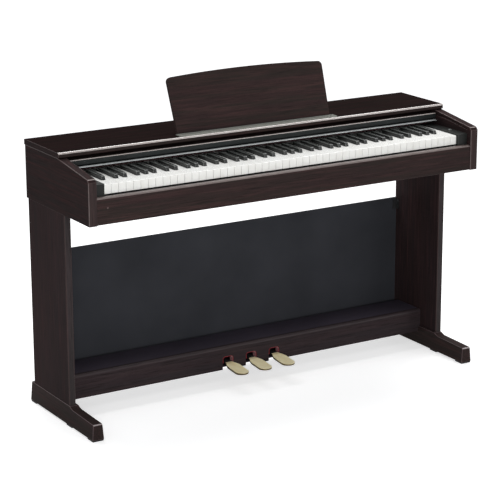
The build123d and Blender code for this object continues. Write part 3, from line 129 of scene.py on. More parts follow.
class NodeBench:
    """Lays out the shader nodes of one material and joins them."""

    def __init__(self, name: str) -> None:
        """Starts a material with one principled shader.

        Args:
            name: The material's name.
        """
        self.material = bpy.data.materials.new(name)
        self.material.use_nodes = True
        self.tree = self.material.node_tree
        self.tree.nodes.clear()
        output = self.tree.nodes.new("ShaderNodeOutputMaterial")
        self.shader = self.tree.nodes.new("ShaderNodeBsdfPrincipled")
        self.tree.links.new(self.shader.outputs["BSDF"], output.inputs["Surface"])

    def set(self, **values: object) -> None:
        """Sets sockets of the shader.

        Args:
            **values: Value of each socket, by its name with spaces written as underscores.
        """
        for name, value in values.items():
            self.shader.inputs[name.replace("_", " ")].default_value = value

    def drive(self, socket: str, source: bpy.types.NodeSocket) -> None:
        """Joins a node's output to one of the shader's sockets."""
        self.tree.links.new(source, self.shader.inputs[socket])

    def place(self, scale: Triple) -> bpy.types.NodeSocket:
        """Gives object coordinates, scaled along each axis.

        Args:
            scale: Repeats per metre along each axis.

        Returns:
            The socket that holds the coordinates.
        """
        coordinates = self.tree.nodes.new("ShaderNodeTexCoord")
        mapping = self.tree.nodes.new("ShaderNodeMapping")
        mapping.inputs["Scale"].default_value = scale
        self.tree.links.new(coordinates.outputs["Object"], mapping.inputs["Vector"])
        return mapping.outputs["Vector"]

    def even(self, scale: float) -> bpy.types.NodeSocket:
        """Gives object coordinates with as many repeats per metre along every axis."""
        return self.place((scale, scale, scale))

    def noise(
        self, vector: bpy.types.NodeSocket, detail: float = 4.0, blur: float = 0.5
    ) -> bpy.types.NodeSocket:
        """Adds a noise texture.

        Args:
            vector: The coordinates that it reads.
            detail: How many finer layers it has.
            blur: How strong the finer layers are.

        Returns:
            The socket that holds the noise.
        """
        node = self.tree.nodes.new("ShaderNodeTexNoise")
        node.inputs["Scale"].default_value = UNIT_SCALE
        node.inputs["Detail"].default_value = detail
        node.inputs["Roughness"].default_value = blur
        self.tree.links.new(vector, node.inputs["Vector"])
        return node.outputs["Fac"]

    def cells(self, vector: bpy.types.NodeSocket) -> bpy.types.NodeSocket:
        """Adds a cell texture.

        Args:
            vector: The coordinates that it reads.

        Returns:
            The socket that holds the distance to the nearest cell's middle.
        """
        node = self.tree.nodes.new("ShaderNodeTexVoronoi")
        node.inputs["Scale"].default_value = UNIT_SCALE
        self.tree.links.new(vector, node.inputs["Vector"])
        return node.outputs["Distance"]

    def span(
        self, value: bpy.types.NodeSocket, low: float, high: float, to_low: float, to_high: float
    ) -> bpy.types.NodeSocket:
        """Maps a value from one range to another, clamped at both ends.

        Args:
            value: The socket to read.
            low: Start of the range it is read in.
            high: End of that range.
            to_low: What the start becomes.
            to_high: What the end becomes.

        Returns:
            The socket that holds the result.
        """
        node = self.tree.nodes.new("ShaderNodeMapRange")
        set_range(node, (low, high, to_low, to_high))
        self.tree.links.new(value, node.inputs["Value"])
        return node.outputs["Result"]

    def blend(self, factor: bpy.types.NodeSocket, first: object, second: object) -> bpy.types.NodeSocket:
        """Blends two colours by a factor.

        Args:
            factor: The socket that holds the second colour's share.
            first: A socket or a fixed colour.
            second: Another one.

        Returns:
            The socket that holds the blend.
        """
        node = self.tree.nodes.new("ShaderNodeMix")
        node.data_type = "RGBA"
        self.tree.links.new(factor, node.inputs["Factor"])
        for index, value in zip(MIX_COLOURS, (first, second)):
            if isinstance(value, tuple):
                node.inputs[index].default_value = (*value, 1.0)
            else:
                self.tree.links.new(value, node.inputs[index])
        return node.outputs[MIX_RESULT]

    def tint(
        self, pattern: bpy.types.NodeSocket, low: float, high: float, first: Colour, second: Colour
    ) -> None:
        """Colours the surface from first to second as the pattern goes from low to high."""
        self.drive("Base Color", self.blend(self.span(pattern, low, high, 0.0, 1.0), first, second))

    def dull(self, pattern: bpy.types.NodeSocket, smooth: float, rough: float) -> None:
        """Varies the roughness from smooth to rough with a pattern."""
        self.drive("Roughness", self.span(pattern, 0.3, 0.7, smooth, rough))

    def emboss(
        self,
        height: bpy.types.NodeSocket,
        strength: float,
        depth: float,
        over: bpy.types.NodeSocket | None = None,
    ) -> bpy.types.NodeSocket:
        """Adds a bump.

        Args:
            height: The socket that holds its height.
            strength: Its strength, from 0 to 1.
            depth: Its depth in metres.
            over: The bump that it lies on, if there is one.

        Returns:
            The socket that holds the normal.
        """
        node = self.tree.nodes.new("ShaderNodeBump")
        node.inputs["Strength"].default_value = strength
        node.inputs["Distance"].default_value = depth
        self.tree.links.new(height, node.inputs["Height"])
        if over is not None:
            self.tree.links.new(over, node.inputs["Normal"])
        return node.outputs["Normal"]


class Grain(Enum):
    """The direction in which a board's grain runs."""

    ACROSS = "x"
    DEEP = "y"
    UPRIGHT = "z"

    def stretch(self, along: float, across: float) -> Triple:
        """Repeats per metre along each axis, for a pattern drawn out along the grain."""
        return tuple(along if axis == self.value else across for axis in "xyz")


@dataclass(frozen=True)
class RosewoodFoil:
    """Dark rosewood foil, nearly matt: red-brown bands and streaks, dark veins and open pores."""

    grain: Grain
    label: str
    # brightness of the board's colour, lowered for the top board as painted shade
    shade: float = 1.0
    ground: Colour = from_srgb(46, 39, 37)
    streak: Colour = from_srgb(63, 46, 45)
    band: Colour = from_srgb(50, 38, 38)
    vein: Colour = from_srgb(27, 23, 23)
    roughness: float = 0.55
    gloss: float = 0.02

    def toned(self, colour: Colour) -> Colour:
        """Gives a colour at this board's brightness, which some finishes lower as painted shade and some
        raise as painted light.
        """
        return shaded(colour, self.shade)

    def make(self) -> bpy.types.Material:
        """Builds the material.

        Returns:
            The material.
        """
        bench = NodeBench(f"rosewood_foil_{self.label}")
        clouds = bench.noise(bench.place(self.grain.stretch(1.3, 7.0)), detail=2.0)
        bands = bench.noise(bench.place(self.grain.stretch(0.9, 38.0)), detail=3.0, blur=0.55)
        streaks = bench.noise(bench.place(self.grain.stretch(5.0, 150.0)), detail=6.0, blur=0.62)
        veins = bench.noise(bench.place(self.grain.stretch(14.0, 420.0)), detail=3.0, blur=0.5)
        pores = bench.noise(bench.place(self.grain.stretch(90.0, 2200.0)), detail=2.0, blur=0.4)
        layers = (
            (bands, 0.45, 0.60, 0.85, self.band),
            (streaks, 0.47, 0.66, 0.9, self.streak),
            (veins, 0.52, 0.70, 0.65, self.vein),
            (clouds, 0.3, 0.7, 0.35, self.vein),
            (pores, 0.60, 0.72, 0.6, self.vein),
        )
        colour = self.toned(self.ground)
        for pattern, low, high, share, layer in layers:
            colour = bench.blend(bench.span(pattern, low, high, 0.0, share), colour, self.toned(layer))
        bench.drive("Base Color", colour)
        bench.dull(streaks, self.roughness - 0.05, self.roughness + 0.07)
        bench.set(Specular_IOR_Level=self.gloss)
        relief = bench.emboss(pores, 0.18, 0.00008)
        bench.drive("Normal", bench.emboss(streaks, 0.10, 0.00025, relief))
        return bench.material


@dataclass(frozen=True)
class LacqueredEdge:
    """A rounded edge under clear lacquer, glossy, and coloured paler than the board as a painted highlight.
    """

    label: str
    colour: Colour
    highlight_tint: Colour
    coat: float = 1.0
    coat_ior: float = 1.5
    gloss: float = 0.5

    def make(self) -> bpy.types.Material:
        """Builds the material.

        Returns:
            The material.
        """
        bench = NodeBench(self.label)
        highlight_patches = bench.noise(bench.even(24.0), detail=5.0, blur=0.6)
        fine = bench.noise(bench.even(300.0), detail=2.0)
        # painted highlight: random patches between two colours paler than the board
        bench.tint(highlight_patches, 0.35, 0.68, self.colour, self.highlight_tint)
        bench.dull(fine, 0.26, 0.38)
        bench.set(Coat_Weight=self.coat, Coat_Roughness=0.14, Coat_IOR=self.coat_ior)
        bench.set(Specular_IOR_Level=self.gloss)
        bench.drive("Normal", bench.emboss(fine, 0.06, 0.00005))
        return bench.material


@dataclass(frozen=True)
class PaintedBoard:
    """Plain dark foil on thin board: matt, with a faint leathery relief and soft mottling."""

    name: str
    colour: Colour
    roughness: float = 0.65
    gloss: float = 0.06

    def make(self) -> bpy.types.Material:
        """Builds the material.

        Returns:
            The material.
        """
        bench = NodeBench(self.name)
        mottle = bench.noise(bench.even(5.0), detail=3.0)
        grit = bench.noise(bench.even(900.0), detail=2.0)
        bench.tint(mottle, 0.3, 0.7, shaded(self.colour, 0.85), shaded(self.colour, 1.2))
        bench.dull(grit, self.roughness - 0.06, self.roughness + 0.08)
        bench.set(Specular_IOR_Level=self.gloss)
        bench.drive("Normal", bench.emboss(grit, 0.2, 0.0001))
        return bench.material


@dataclass(frozen=True)
class MouldedPlastic:
    """Injection-moulded plastic with a fine spark-eroded texture."""

    name: str
    colour: Colour
    roughness: float = 0.34
    texture: float = 0.15
    gloss: float = 0.5

    def make(self) -> bpy.types.Material:
        """Builds the material.

        Returns:
            The material.
        """
        bench = NodeBench(self.name)
        grit = bench.cells(bench.even(1500.0))
        flow = bench.noise(bench.even(14.0), detail=3.0)
        bench.tint(flow, 0.35, 0.65, shaded(self.colour, 0.9), shaded(self.colour, 1.15))
        bench.dull(flow, self.roughness - 0.04, self.roughness + 0.05)
        bench.set(Specular_IOR_Level=self.gloss)
        bench.drive("Normal", bench.emboss(grit, self.texture, 0.00006))
        return bench.material


@dataclass(frozen=True)
class KeyPlastic:
    """Key top plastic: dense and smooth, with a hint of depth at its surface."""

    name: str
    colour: Colour
    roughness: float
    coat: float
    warm: Colour
    gloss: float = 0.5

    def make(self) -> bpy.types.Material:
        """Builds the material.

        Returns:
            The material.
        """
        bench = NodeBench(self.name)
        cloud = bench.noise(bench.place((30.0, 6.0, 30.0)), detail=3.0)
        grit = bench.noise(bench.place((700.0, 160.0, 700.0)), detail=2.0)
        bench.tint(cloud, 0.35, 0.65, self.colour, self.warm)
        bench.dull(grit, self.roughness - 0.04, self.roughness + 0.06)
        bench.set(Coat_Weight=self.coat, Coat_Roughness=0.12, Specular_IOR_Level=self.gloss)
        bench.drive("Normal", bench.emboss(grit, 0.05, 0.00005))
        return bench.material


@dataclass(frozen=True)
class PolishedMetal:
    """Bright metal with fine polishing lines and slightly dulled patches."""

    name: str
    colour: Colour
    tarnish: Colour
    roughness: float
    lines: Triple = (1800.0, 60.0, 1800.0)
    metallic: float = 1.0

    def make(self) -> bpy.types.Material:
        """Builds the material.

        Returns:
            The material.
        """
        bench = NodeBench(self.name)
        polish = bench.noise(bench.place(self.lines), detail=3.0)
        patch = bench.noise(bench.place((45.0, 30.0, 45.0)), detail=4.0)
        bench.tint(patch, 0.35, 0.7, self.colour, self.tarnish)
        bench.dull(polish, self.roughness - 0.06, self.roughness + 0.08)
        bench.set(Metallic=self.metallic)
        bench.drive("Normal", bench.emboss(polish, 0.08, 0.00004))
        return bench.material


@dataclass(frozen=True)
class PaintedSteel:
    """Powder-coated steel: a low orange-peel relief under a soft gloss."""

    name: str
    colour: Colour
    roughness: float = 0.42

    def make(self) -> bpy.types.Material:
        """Builds the material.

        Returns:
            The material.
        """
        bench = NodeBench(self.name)
        peel = bench.noise(bench.even(650.0), detail=1.0)
        dust = bench.noise(bench.even(20.0), detail=4.0)
        bench.tint(dust, 0.4, 0.8, self.colour, shaded(self.colour, 1.4))
        bench.dull(peel, self.roughness - 0.06, self.roughness + 0.06)
        bench.set(Specular_IOR_Level=0.3)
        bench.drive("Normal", bench.emboss(peel, 0.25, 0.00008))
        return bench.material


@dataclass(frozen=True)
class WoolFelt:
    """Pressed wool felt: short matted fibres and a soft sheen."""

    name: str
    colour: Colour
    shade: Colour
    sheen: float = 0.5

    def make(self) -> bpy.types.Material:
        """Builds the material.

        Returns:
            The material.
        """
        bench = NodeBench(self.name)
        mat = bench.noise(bench.even(420.0), detail=8.0, blur=0.7)
        fibre = bench.noise(bench.place((2600.0, 900.0, 2600.0)), detail=4.0, blur=0.7)
        bench.tint(mat, 0.35, 0.65, self.shade, self.colour)
        bench.set(Roughness=0.95, Sheen_Weight=self.sheen, Sheen_Roughness=0.5, Specular_IOR_Level=0.1)
        under = bench.emboss(mat, 0.6, 0.0006)
        bench.drive("Normal", bench.emboss(fibre, 0.4, 0.0002, under))
        return bench.material


@dataclass(frozen=True)
class SoftRubber:
    """Dull moulded rubber with a chalky bloom."""

    name: str
    colour: Colour
    bloom: Colour
    roughness: float = 0.7

    def make(self) -> bpy.types.Material:
        """Builds the material.

        Returns:
            The material.
        """
        bench = NodeBench(self.name)
        bloom = bench.noise(bench.even(60.0), detail=6.0, blur=0.65)
        grit = bench.noise(bench.even(1200.0), detail=2.0)
        bench.tint(bloom, 0.4, 0.75, self.colour, self.bloom)
        bench.dull(bloom, self.roughness - 0.1, self.roughness + 0.1)
        bench.set(Specular_IOR_Level=0.2)
        bench.drive("Normal", bench.emboss(grit, 0.2, 0.0001))
        return bench.material


class Finish(Enum):
    """The finishes of the piano, each with its recipe."""

    # darker than the other foils: painted shade on the top board's faces that look up and down
    WOOD_TOP = RosewoodFoil(Grain.ACROSS, "top", shade=0.48, gloss=0.0)
    WOOD_ACROSS = RosewoodFoil(Grain.ACROSS, "across", shade=1.1)
    WOOD_REST = RosewoodFoil(Grain.ACROSS, "rest", shade=1.15)
    WOOD_DEEP = RosewoodFoil(
        Grain.DEEP, "deep", 0.8, from_srgb(46, 37, 37), from_srgb(66, 45, 45), gloss=0.01
    )
    WOOD_FOOT = RosewoodFoil(Grain.DEEP, "foot", shade=1.0)
    WOOD_UPRIGHT = RosewoodFoil(
        Grain.UPRIGHT, "upright", 0.9, from_srgb(46, 38, 39), from_srgb(64, 46, 47), gloss=0.01
    )
    WOOD_BAND = RosewoodFoil(
        Grain.UPRIGHT, "edge_band", 1.1, from_srgb(56, 52, 52), from_srgb(62, 54, 55), from_srgb(52, 47, 48)
    )
    # lighter than the panel sides: partly the front wrap's own colour, partly painted light on the arm fronts
    WOOD_ARM = RosewoodFoil(
        Grain.UPRIGHT, "arm_front", 1.1, from_srgb(62, 52, 51), from_srgb(70, 55, 54), from_srgb(56, 46, 46)
    )
    WOOD_BOX = RosewoodFoil(
        Grain.ACROSS, "pedal_box", 1.1, from_srgb(47, 41, 43), from_srgb(58, 48, 49), from_srgb(50, 41, 43)
    )
    # lighter than the box front: painted sheen on its rounded top, over a real satin gloss
    WOOD_SATIN = RosewoodFoil(
        Grain.ACROSS, "satin", 1.15, from_srgb(50, 44, 46), from_srgb(60, 50, 51), from_srgb(52, 44, 46),
        roughness=0.4, gloss=0.12
    )
    # The edge finishes below are paler than the faces they border: painted highlights along roundings,
    # chamfers and ledges, over real lacquer gloss where they have a coat.
    EDGE_BRIGHT = LacqueredEdge(
        "edge_bright", from_srgb(138, 126, 121), from_srgb(152, 141, 136), coat_ior=1.8
    )
    EDGE_TOE = LacqueredEdge("edge_toe", from_srgb(112, 100, 100), from_srgb(130, 118, 118), coat_ior=1.7)
    EDGE_WOOD = LacqueredEdge("edge_wood", from_srgb(62, 50, 49), from_srgb(72, 58, 57), 0.0, gloss=0.1)
    EDGE_ARM = LacqueredEdge("edge_arm", from_srgb(76, 64, 62), from_srgb(90, 77, 75), 0.1, gloss=0.3)
    EDGE_SLOPE = LacqueredEdge("edge_slope", from_srgb(82, 69, 68), from_srgb(94, 81, 79), 0.0, gloss=0.1)
    EDGE_FOOT = LacqueredEdge("edge_foot", from_srgb(82, 68, 70), from_srgb(94, 80, 82), 0.0, gloss=0.15)
    EDGE_RAIL = LacqueredEdge("edge_rail", from_srgb(92, 80, 77), from_srgb(108, 96, 93), 0.0)
    # near white on black plastic: painted highlights on the cover lip and the fallboard's nose
    EDGE_LIP = LacqueredEdge("edge_lip", from_srgb(156, 144, 139), from_srgb(170, 159, 154), coat_ior=1.8)
    EDGE_GREY = LacqueredEdge("edge_nose_highlight", from_srgb(202, 206, 206), from_srgb(216, 219, 219), coat_ior=1.8)
    EDGE_KEY = LacqueredEdge("edge_key", from_srgb(70, 73, 71), from_srgb(86, 89, 86), 0.3)
    DARK_BOARD = PaintedBoard("dark_board", from_srgb(47, 48, 52))
    BROWN_BOARD = PaintedBoard("brown_board", from_srgb(42, 33, 32))
    BOX_BOARD = PaintedBoard("box_board", from_srgb(56, 51, 60))
    BLACK_PLASTIC = MouldedPlastic("black_plastic", from_srgb(35, 38, 38), gloss=0.2)
    BLOCK_PLASTIC = MouldedPlastic("block_plastic", from_srgb(37, 38, 37), roughness=0.35, gloss=0.1)
    CONTROL_PLASTIC = MouldedPlastic("control_plastic", from_srgb(150, 152, 152), roughness=0.3)
    # mid grey: painted reflection on a dark power button
    SWITCH_PLASTIC = MouldedPlastic("switch_plastic", from_srgb(100, 102, 101), roughness=0.3)
    ACETAL = MouldedPlastic("acetal", from_srgb(205, 202, 194), roughness=0.4)
    LAMP_LENS = MouldedPlastic("lamp_lens", from_srgb(84, 60, 58), roughness=0.2, texture=0.02)
    BOARD_GREEN = MouldedPlastic("board_green", from_srgb(36, 92, 56), roughness=0.4)
    WHITE_KEY = KeyPlastic("white_key", from_srgb(238, 238, 235), 0.28, 0.25, from_srgb(234, 233, 229))
    # a touch darker than the key tops: painted shade on the key fronts
    KEY_FRONT = KeyPlastic("key_front", from_srgb(236, 236, 232), 0.3, 0.2, from_srgb(231, 230, 225))
    BLACK_KEY = KeyPlastic("black_key", from_srgb(28, 30, 29), 0.2, 0.0, from_srgb(22, 23, 23), 0.25)
    BRASS = PolishedMetal("brass", from_srgb(255, 244, 202), from_srgb(248, 233, 184), 0.42, metallic=0.15)
    # darker brass: painted shade on the pedals' sides and undersides
    BRASS_RIM = PolishedMetal("brass_painted_shade", from_srgb(92, 78, 46), from_srgb(70, 58, 34), 0.3, metallic=0.8)
    ZINC = PolishedMetal(
        "zinc", from_srgb(176, 178, 180), from_srgb(150, 152, 155), 0.34, (600.0, 600.0, 600.0)
    )
    BLACK_STEEL = PaintedSteel("black_steel", from_srgb(32, 32, 33))
    GREY_STEEL = PaintedSteel("grey_steel", from_srgb(84, 86, 88))
    RED_FELT = WoolFelt("red_felt", from_srgb(140, 28, 40), from_srgb(84, 12, 22))
    # darker than the pedal felt: painted shade on the key felts
    KEY_FELT = WoolFelt("key_felt", from_srgb(66, 16, 22), from_srgb(40, 10, 14), 0.1)
    LEDGE_RUBBER = SoftRubber("ledge_rubber", from_srgb(120, 121, 115), from_srgb(134, 134, 127), 0.55)
    FOOT_RUBBER = SoftRubber("foot_rubber", from_srgb(24, 24, 25), from_srgb(36, 36, 37))


class Palette:
    """Makes each finish once and hands it out."""

    def __init__(self) -> None:
        """Starts with no material made."""
        self._made: dict[Finish, bpy.types.Material] = {}

    def material(self, finish: Finish) -> bpy.types.Material:
        """Gives a finish's material, making it the first time.

        Args:
            finish: The finish.

        Returns:
            Its material.
        """
        if finish not in self._made:
            self._made[finish] = finish.value.make()
        return self._made[finish]

    def dress(self, piece: bpy.types.Object, *finishes: Finish) -> None:
        """Gives a piece these finishes, one slot each, in place of what it has.

        Args:
            piece: The piece.
            *finishes: Its finishes, in the order of its slots.
        """
        piece.data.materials.clear()
        for finish in finishes:
            piece.data.materials.append(self.material(finish))


# ---------------------------------------------------------------------------------------------
# Bench work: what every sub-assembly uses to make its meshes
# ---------------------------------------------------------------------------------------------


@dataclass(frozen=True)
class Screw:
    """A screw with a dished head and a crossed recess; lengths are in millimetres."""

    radius: float
    height: float
    sides: int = 16             # a multiple of four
    dish_width: float = 0.22    # this and the next two are shares of the radius
    dish_depth: float = 0.16
    land: float = 0.18
    waist: float = 0.42         # of the recess between the arms of its cross
    depth: float = 0.6          # of the recess, as a share of the head's height

    def model(self) -> bpy.types.Object:
        """Models the head, standing on the origin and looking up.

        Returns:
            The screw head.
        """
        radius, height = self.radius * MM, self.height * MM
        bpy.ops.object.select_all(action="DESELECT")
        bpy.ops.mesh.primitive_cylinder_add(
            vertices=self.sides, radius=radius, depth=height, location=(0.0, 0.0, height / 2)
        )
        head = bpy.context.active_object
        bpy.ops.object.transform_apply(location=True, rotation=True, scale=True)
        bpy.ops.object.mode_set(mode="EDIT")
        mesh = bmesh.from_edit_mesh(head.data)
        bpy.ops.mesh.select_all(action="DESELECT")
        bpy.context.tool_settings.mesh_select_mode = (False, False, True)
        mesh.faces.ensure_lookup_table()
        top = max(mesh.faces, key=lambda face: face.calc_center_median().z)
        top.select_set(True)
        bmesh.update_edit_mesh(head.data)
        bpy.ops.mesh.inset(thickness=radius * self.dish_width, depth=radius * self.dish_depth)
        bpy.ops.mesh.inset(thickness=radius * self.land)
        mesh = bmesh.from_edit_mesh(head.data)
        recess = next(face for face in mesh.faces if face.select)
        for index, corner in enumerate(recess.verts):
            if index % 4:
                corner.co.x *= self.waist
                corner.co.y *= self.waist
        bmesh.update_edit_mesh(head.data)
        sink = (0.0, 0.0, -self.depth * height)
        bpy.ops.mesh.extrude_region_move(TRANSFORM_OT_translate={"value": sink})
        bpy.ops.object.mode_set(mode="OBJECT")
        return head


@dataclass
class Workshop:
    """The frame, the palette and the operations that pieces are made with."""

    frame: dict
    palette: Palette
    slots: dict[str, str] = field(init=False)

    def __post_init__(self) -> None:
        """Reads which material slot each node has in the record."""
        self.slots = {row["node"]: row["material_slot"] for row in self.frame["record"]["subparts"]}

    def body(self, node: str) -> str:
        """Gives the name of the body that a node belongs to."""
        return self.frame["nodes"][node]["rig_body"]

    def select_only(self, piece: bpy.types.Object) -> None:
        """Selects one object and makes it the active one."""
        bpy.ops.object.select_all(action="DESELECT")
        piece.select_set(True)
        bpy.context.view_layer.objects.active = piece

    def apply(self, piece: bpy.types.Object, kind: str, **settings: object) -> None:
        """Adds a modifier and applies it.

        Args:
            piece: The piece that it changes.
            kind: The modifier's type.
            **settings: Its settings, by name.
        """
        self.select_only(piece)
        modifier = piece.modifiers.new(kind.lower(), kind)
        for name, value in settings.items():
            setattr(modifier, name, value)
        bpy.ops.object.modifier_apply(modifier=modifier.name)

    def shade(self, piece: bpy.types.Object) -> None:
        """Shades rounded edges smoothly and keeps flat faces flat.

        Args:
            piece: The piece.
        """
        self.select_only(piece)
        bpy.ops.object.shade_smooth_by_angle(angle=math.radians(SMOOTH))
        self.apply(piece, "WEIGHTED_NORMAL", keep_sharp=True, weight=80)

    def soften(
        self,
        node: str,
        finish: Finish,
        width: float,
        segments: int = COARSE,
        edge: Finish | None = None,
    ) -> bpy.types.Object:
        """Makes a copy of a frame node with its sharp edges rounded, to stand for that node.

        Args:
            node: The frame node that is copied and then hidden.
            finish: The finish of the copy.
            width: Width of the rounding in millimetres.
            segments: Faces across each rounding.
            edge: The finish of the roundings, if they have their own; the pale edge finishes are painted
                highlights.

        Returns:
            The new piece, which rides on the node's body.
        """
        source = self.frame["nodes"][node]
        piece = bpy.data.objects.new(f"{node}_finished", source.data.copy())
        bpy.context.scene.collection.objects.link(piece)
        self.select_only(piece)
        bpy.ops.mesh.customdata_custom_splitnormals_clear()
        bpy.ops.object.mode_set(mode="EDIT")
        bpy.ops.mesh.select_all(action="SELECT")
        bpy.ops.mesh.remove_doubles(threshold=WELD * MM)
        bpy.ops.mesh.dissolve_limited(angle_limit=math.radians(FLATNESS))
        bpy.ops.object.mode_set(mode="OBJECT")
        self.palette.dress(piece, finish, *([edge] if edge else []))
        self.apply(
            piece,
            "BEVEL",
            width=width * MM,
            segments=segments,
            limit_method="ANGLE",
            angle_limit=math.radians(SHARP),
            use_clamp_overlap=True,
            material=1 if edge else -1,
        )
        self.shade(piece)
        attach(piece, source["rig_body"])
        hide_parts(node)
        LOG.info("%s: %d faces", piece.name, len(piece.data.polygons))
        return piece

    def keep(self, node: str, finish: Finish) -> None:
        """Leaves a frame node as it is and gives it a finish."""
        self.palette.dress(self.frame["nodes"][node], finish)
        LOG.info("%s: kept", node)

    def paint(
        self,
        piece: bpy.types.Object,
        finish: Finish,
        facing: Vector,
        spread: float,
        low: Triple = (-FAR, -FAR, -FAR),
        high: Triple = (FAR, FAR, FAR),
    ) -> None:
        """Gives another finish to the faces that look one way inside a box.

        Args:
            piece: The piece whose faces change.
            finish: The finish they get.
            facing: The direction they look in.
            spread: How far they may turn from it, in degrees.
            low: Lowest corner of the box that holds their middles.
            high: Highest corner of that box.
        """
        material = self.palette.material(finish)
        slot = piece.data.materials.find(material.name)
        if slot < 0:
            piece.data.materials.append(material)
            slot = len(piece.data.materials) - 1
        limit = math.cos(math.radians(spread))
        for face in piece.data.polygons:
            inside = all(a <= c <= b for a, c, b in zip(low, face.center, high))
            if inside and face.normal.dot(facing.normalized()) > limit:
                face.material_index = slot

    def cut(self, piece: bpy.types.Object, place: Triple, normal: Vector) -> None:
        """Cuts a piece's faces along a plane, so that each side can have its own finish.

        Args:
            piece: The piece.
            place: A point of the plane.
            normal: The direction that the plane looks in.
        """
        self.select_only(piece)
        bpy.ops.object.mode_set(mode="EDIT")
        bpy.ops.mesh.select_all(action="SELECT")
        bpy.ops.mesh.bisect(plane_co=place, plane_no=normal)
        bpy.ops.object.mode_set(mode="OBJECT")

    def settle(self, piece: bpy.types.Object, name: str, finish: Finish, node: str) -> bpy.types.Object:
        """Names, dresses and attaches a new piece whose place is already in its mesh.

        Args:
            piece: The new piece.
            name: Its name.
            finish: Its finish.
            node: The frame node that it is fixed to.

        Returns:
            The piece.
        """
        piece.name = name
        piece.data.name = name
        self.select_only(piece)
        bpy.ops.object.transform_apply(location=True, rotation=True, scale=True)
        self.palette.dress(piece, finish)
        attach(piece, self.body(node))
        LOG.info("%s: %d faces", name, len(piece.data.polygons))
        return piece

    def turned(self, profile: Profile, steps: int) -> bpy.types.Object:
        """Spins a closed profile about Z into a ring, as on a lathe.

        Args:
            profile: The section's corners, in order round it.
            steps: Faces round the ring.

        Returns:
            The ring, standing on the origin.
        """
        bpy.ops.object.select_all(action="DESELECT")
        bpy.ops.mesh.primitive_circle_add(vertices=len(profile), fill_type="NOTHING")
        ring = bpy.context.active_object
        for vertex, (radius, height) in zip(ring.data.vertices, profile):
            vertex.co = (radius * MM, 0.0, height * MM)
        bpy.ops.object.mode_set(mode="EDIT")
        bpy.ops.mesh.select_all(action="SELECT")
        bpy.ops.mesh.spin(steps=steps, angle=math.tau, center=(0.0, 0.0, 0.0), axis=(0.0, 0.0, 1.0))
        bpy.ops.mesh.select_all(action="SELECT")
        bpy.ops.mesh.remove_doubles(threshold=RING_WELD * MM)
        bpy.ops.mesh.normals_make_consistent(inside=False)
        bpy.ops.object.mode_set(mode="OBJECT")
        return ring

    def spread(
        self,
        pattern: bpy.types.Object,
        name: str,
        finish: Finish,
        node: str,
        places: list[Triple],
        facing: Vector,
    ) -> bpy.types.Object:
        """Copies a pattern to several places, each copy with its own mesh, and joins them.

        Args:
            pattern: The piece to copy, standing on the origin and looking up.
            name: The name of the joined piece.
            finish: Its finish.
            node: The frame node that it is fixed to.
            places: Where the copies stand.
            facing: The direction in which the copies look.

        Returns:
            The joined piece.
        """
        turn = UP.rotation_difference(facing).to_matrix().to_4x4()
        copies = []
        for index, place in enumerate(places):
            copy = bpy.data.objects.new(f"{name}_{index}", pattern.data.copy())
            bpy.context.scene.collection.objects.link(copy)
            copy.data.transform(Matrix.Translation(place) @ turn)
            copies.append(copy)
        bpy.data.objects.remove(pattern)
        bpy.ops.object.select_all(action="DESELECT")
        for copy in copies:
            copy.select_set(True)
        bpy.context.view_layer.objects.active = copies[0]
        bpy.ops.object.join()
        self.shade(copies[0])
        return self.settle(copies[0], name, finish, node)


def evenly(low: float, high: float, count: int) -> list[float]:
    """Gives evenly spaced numbers from low to high, both included."""
    return [low + (high - low) * index / (count - 1) for index in range(count)]


# ---------------------------------------------------------------------------------------------
# Sub-assemblies
# ---------------------------------------------------------------------------------------------


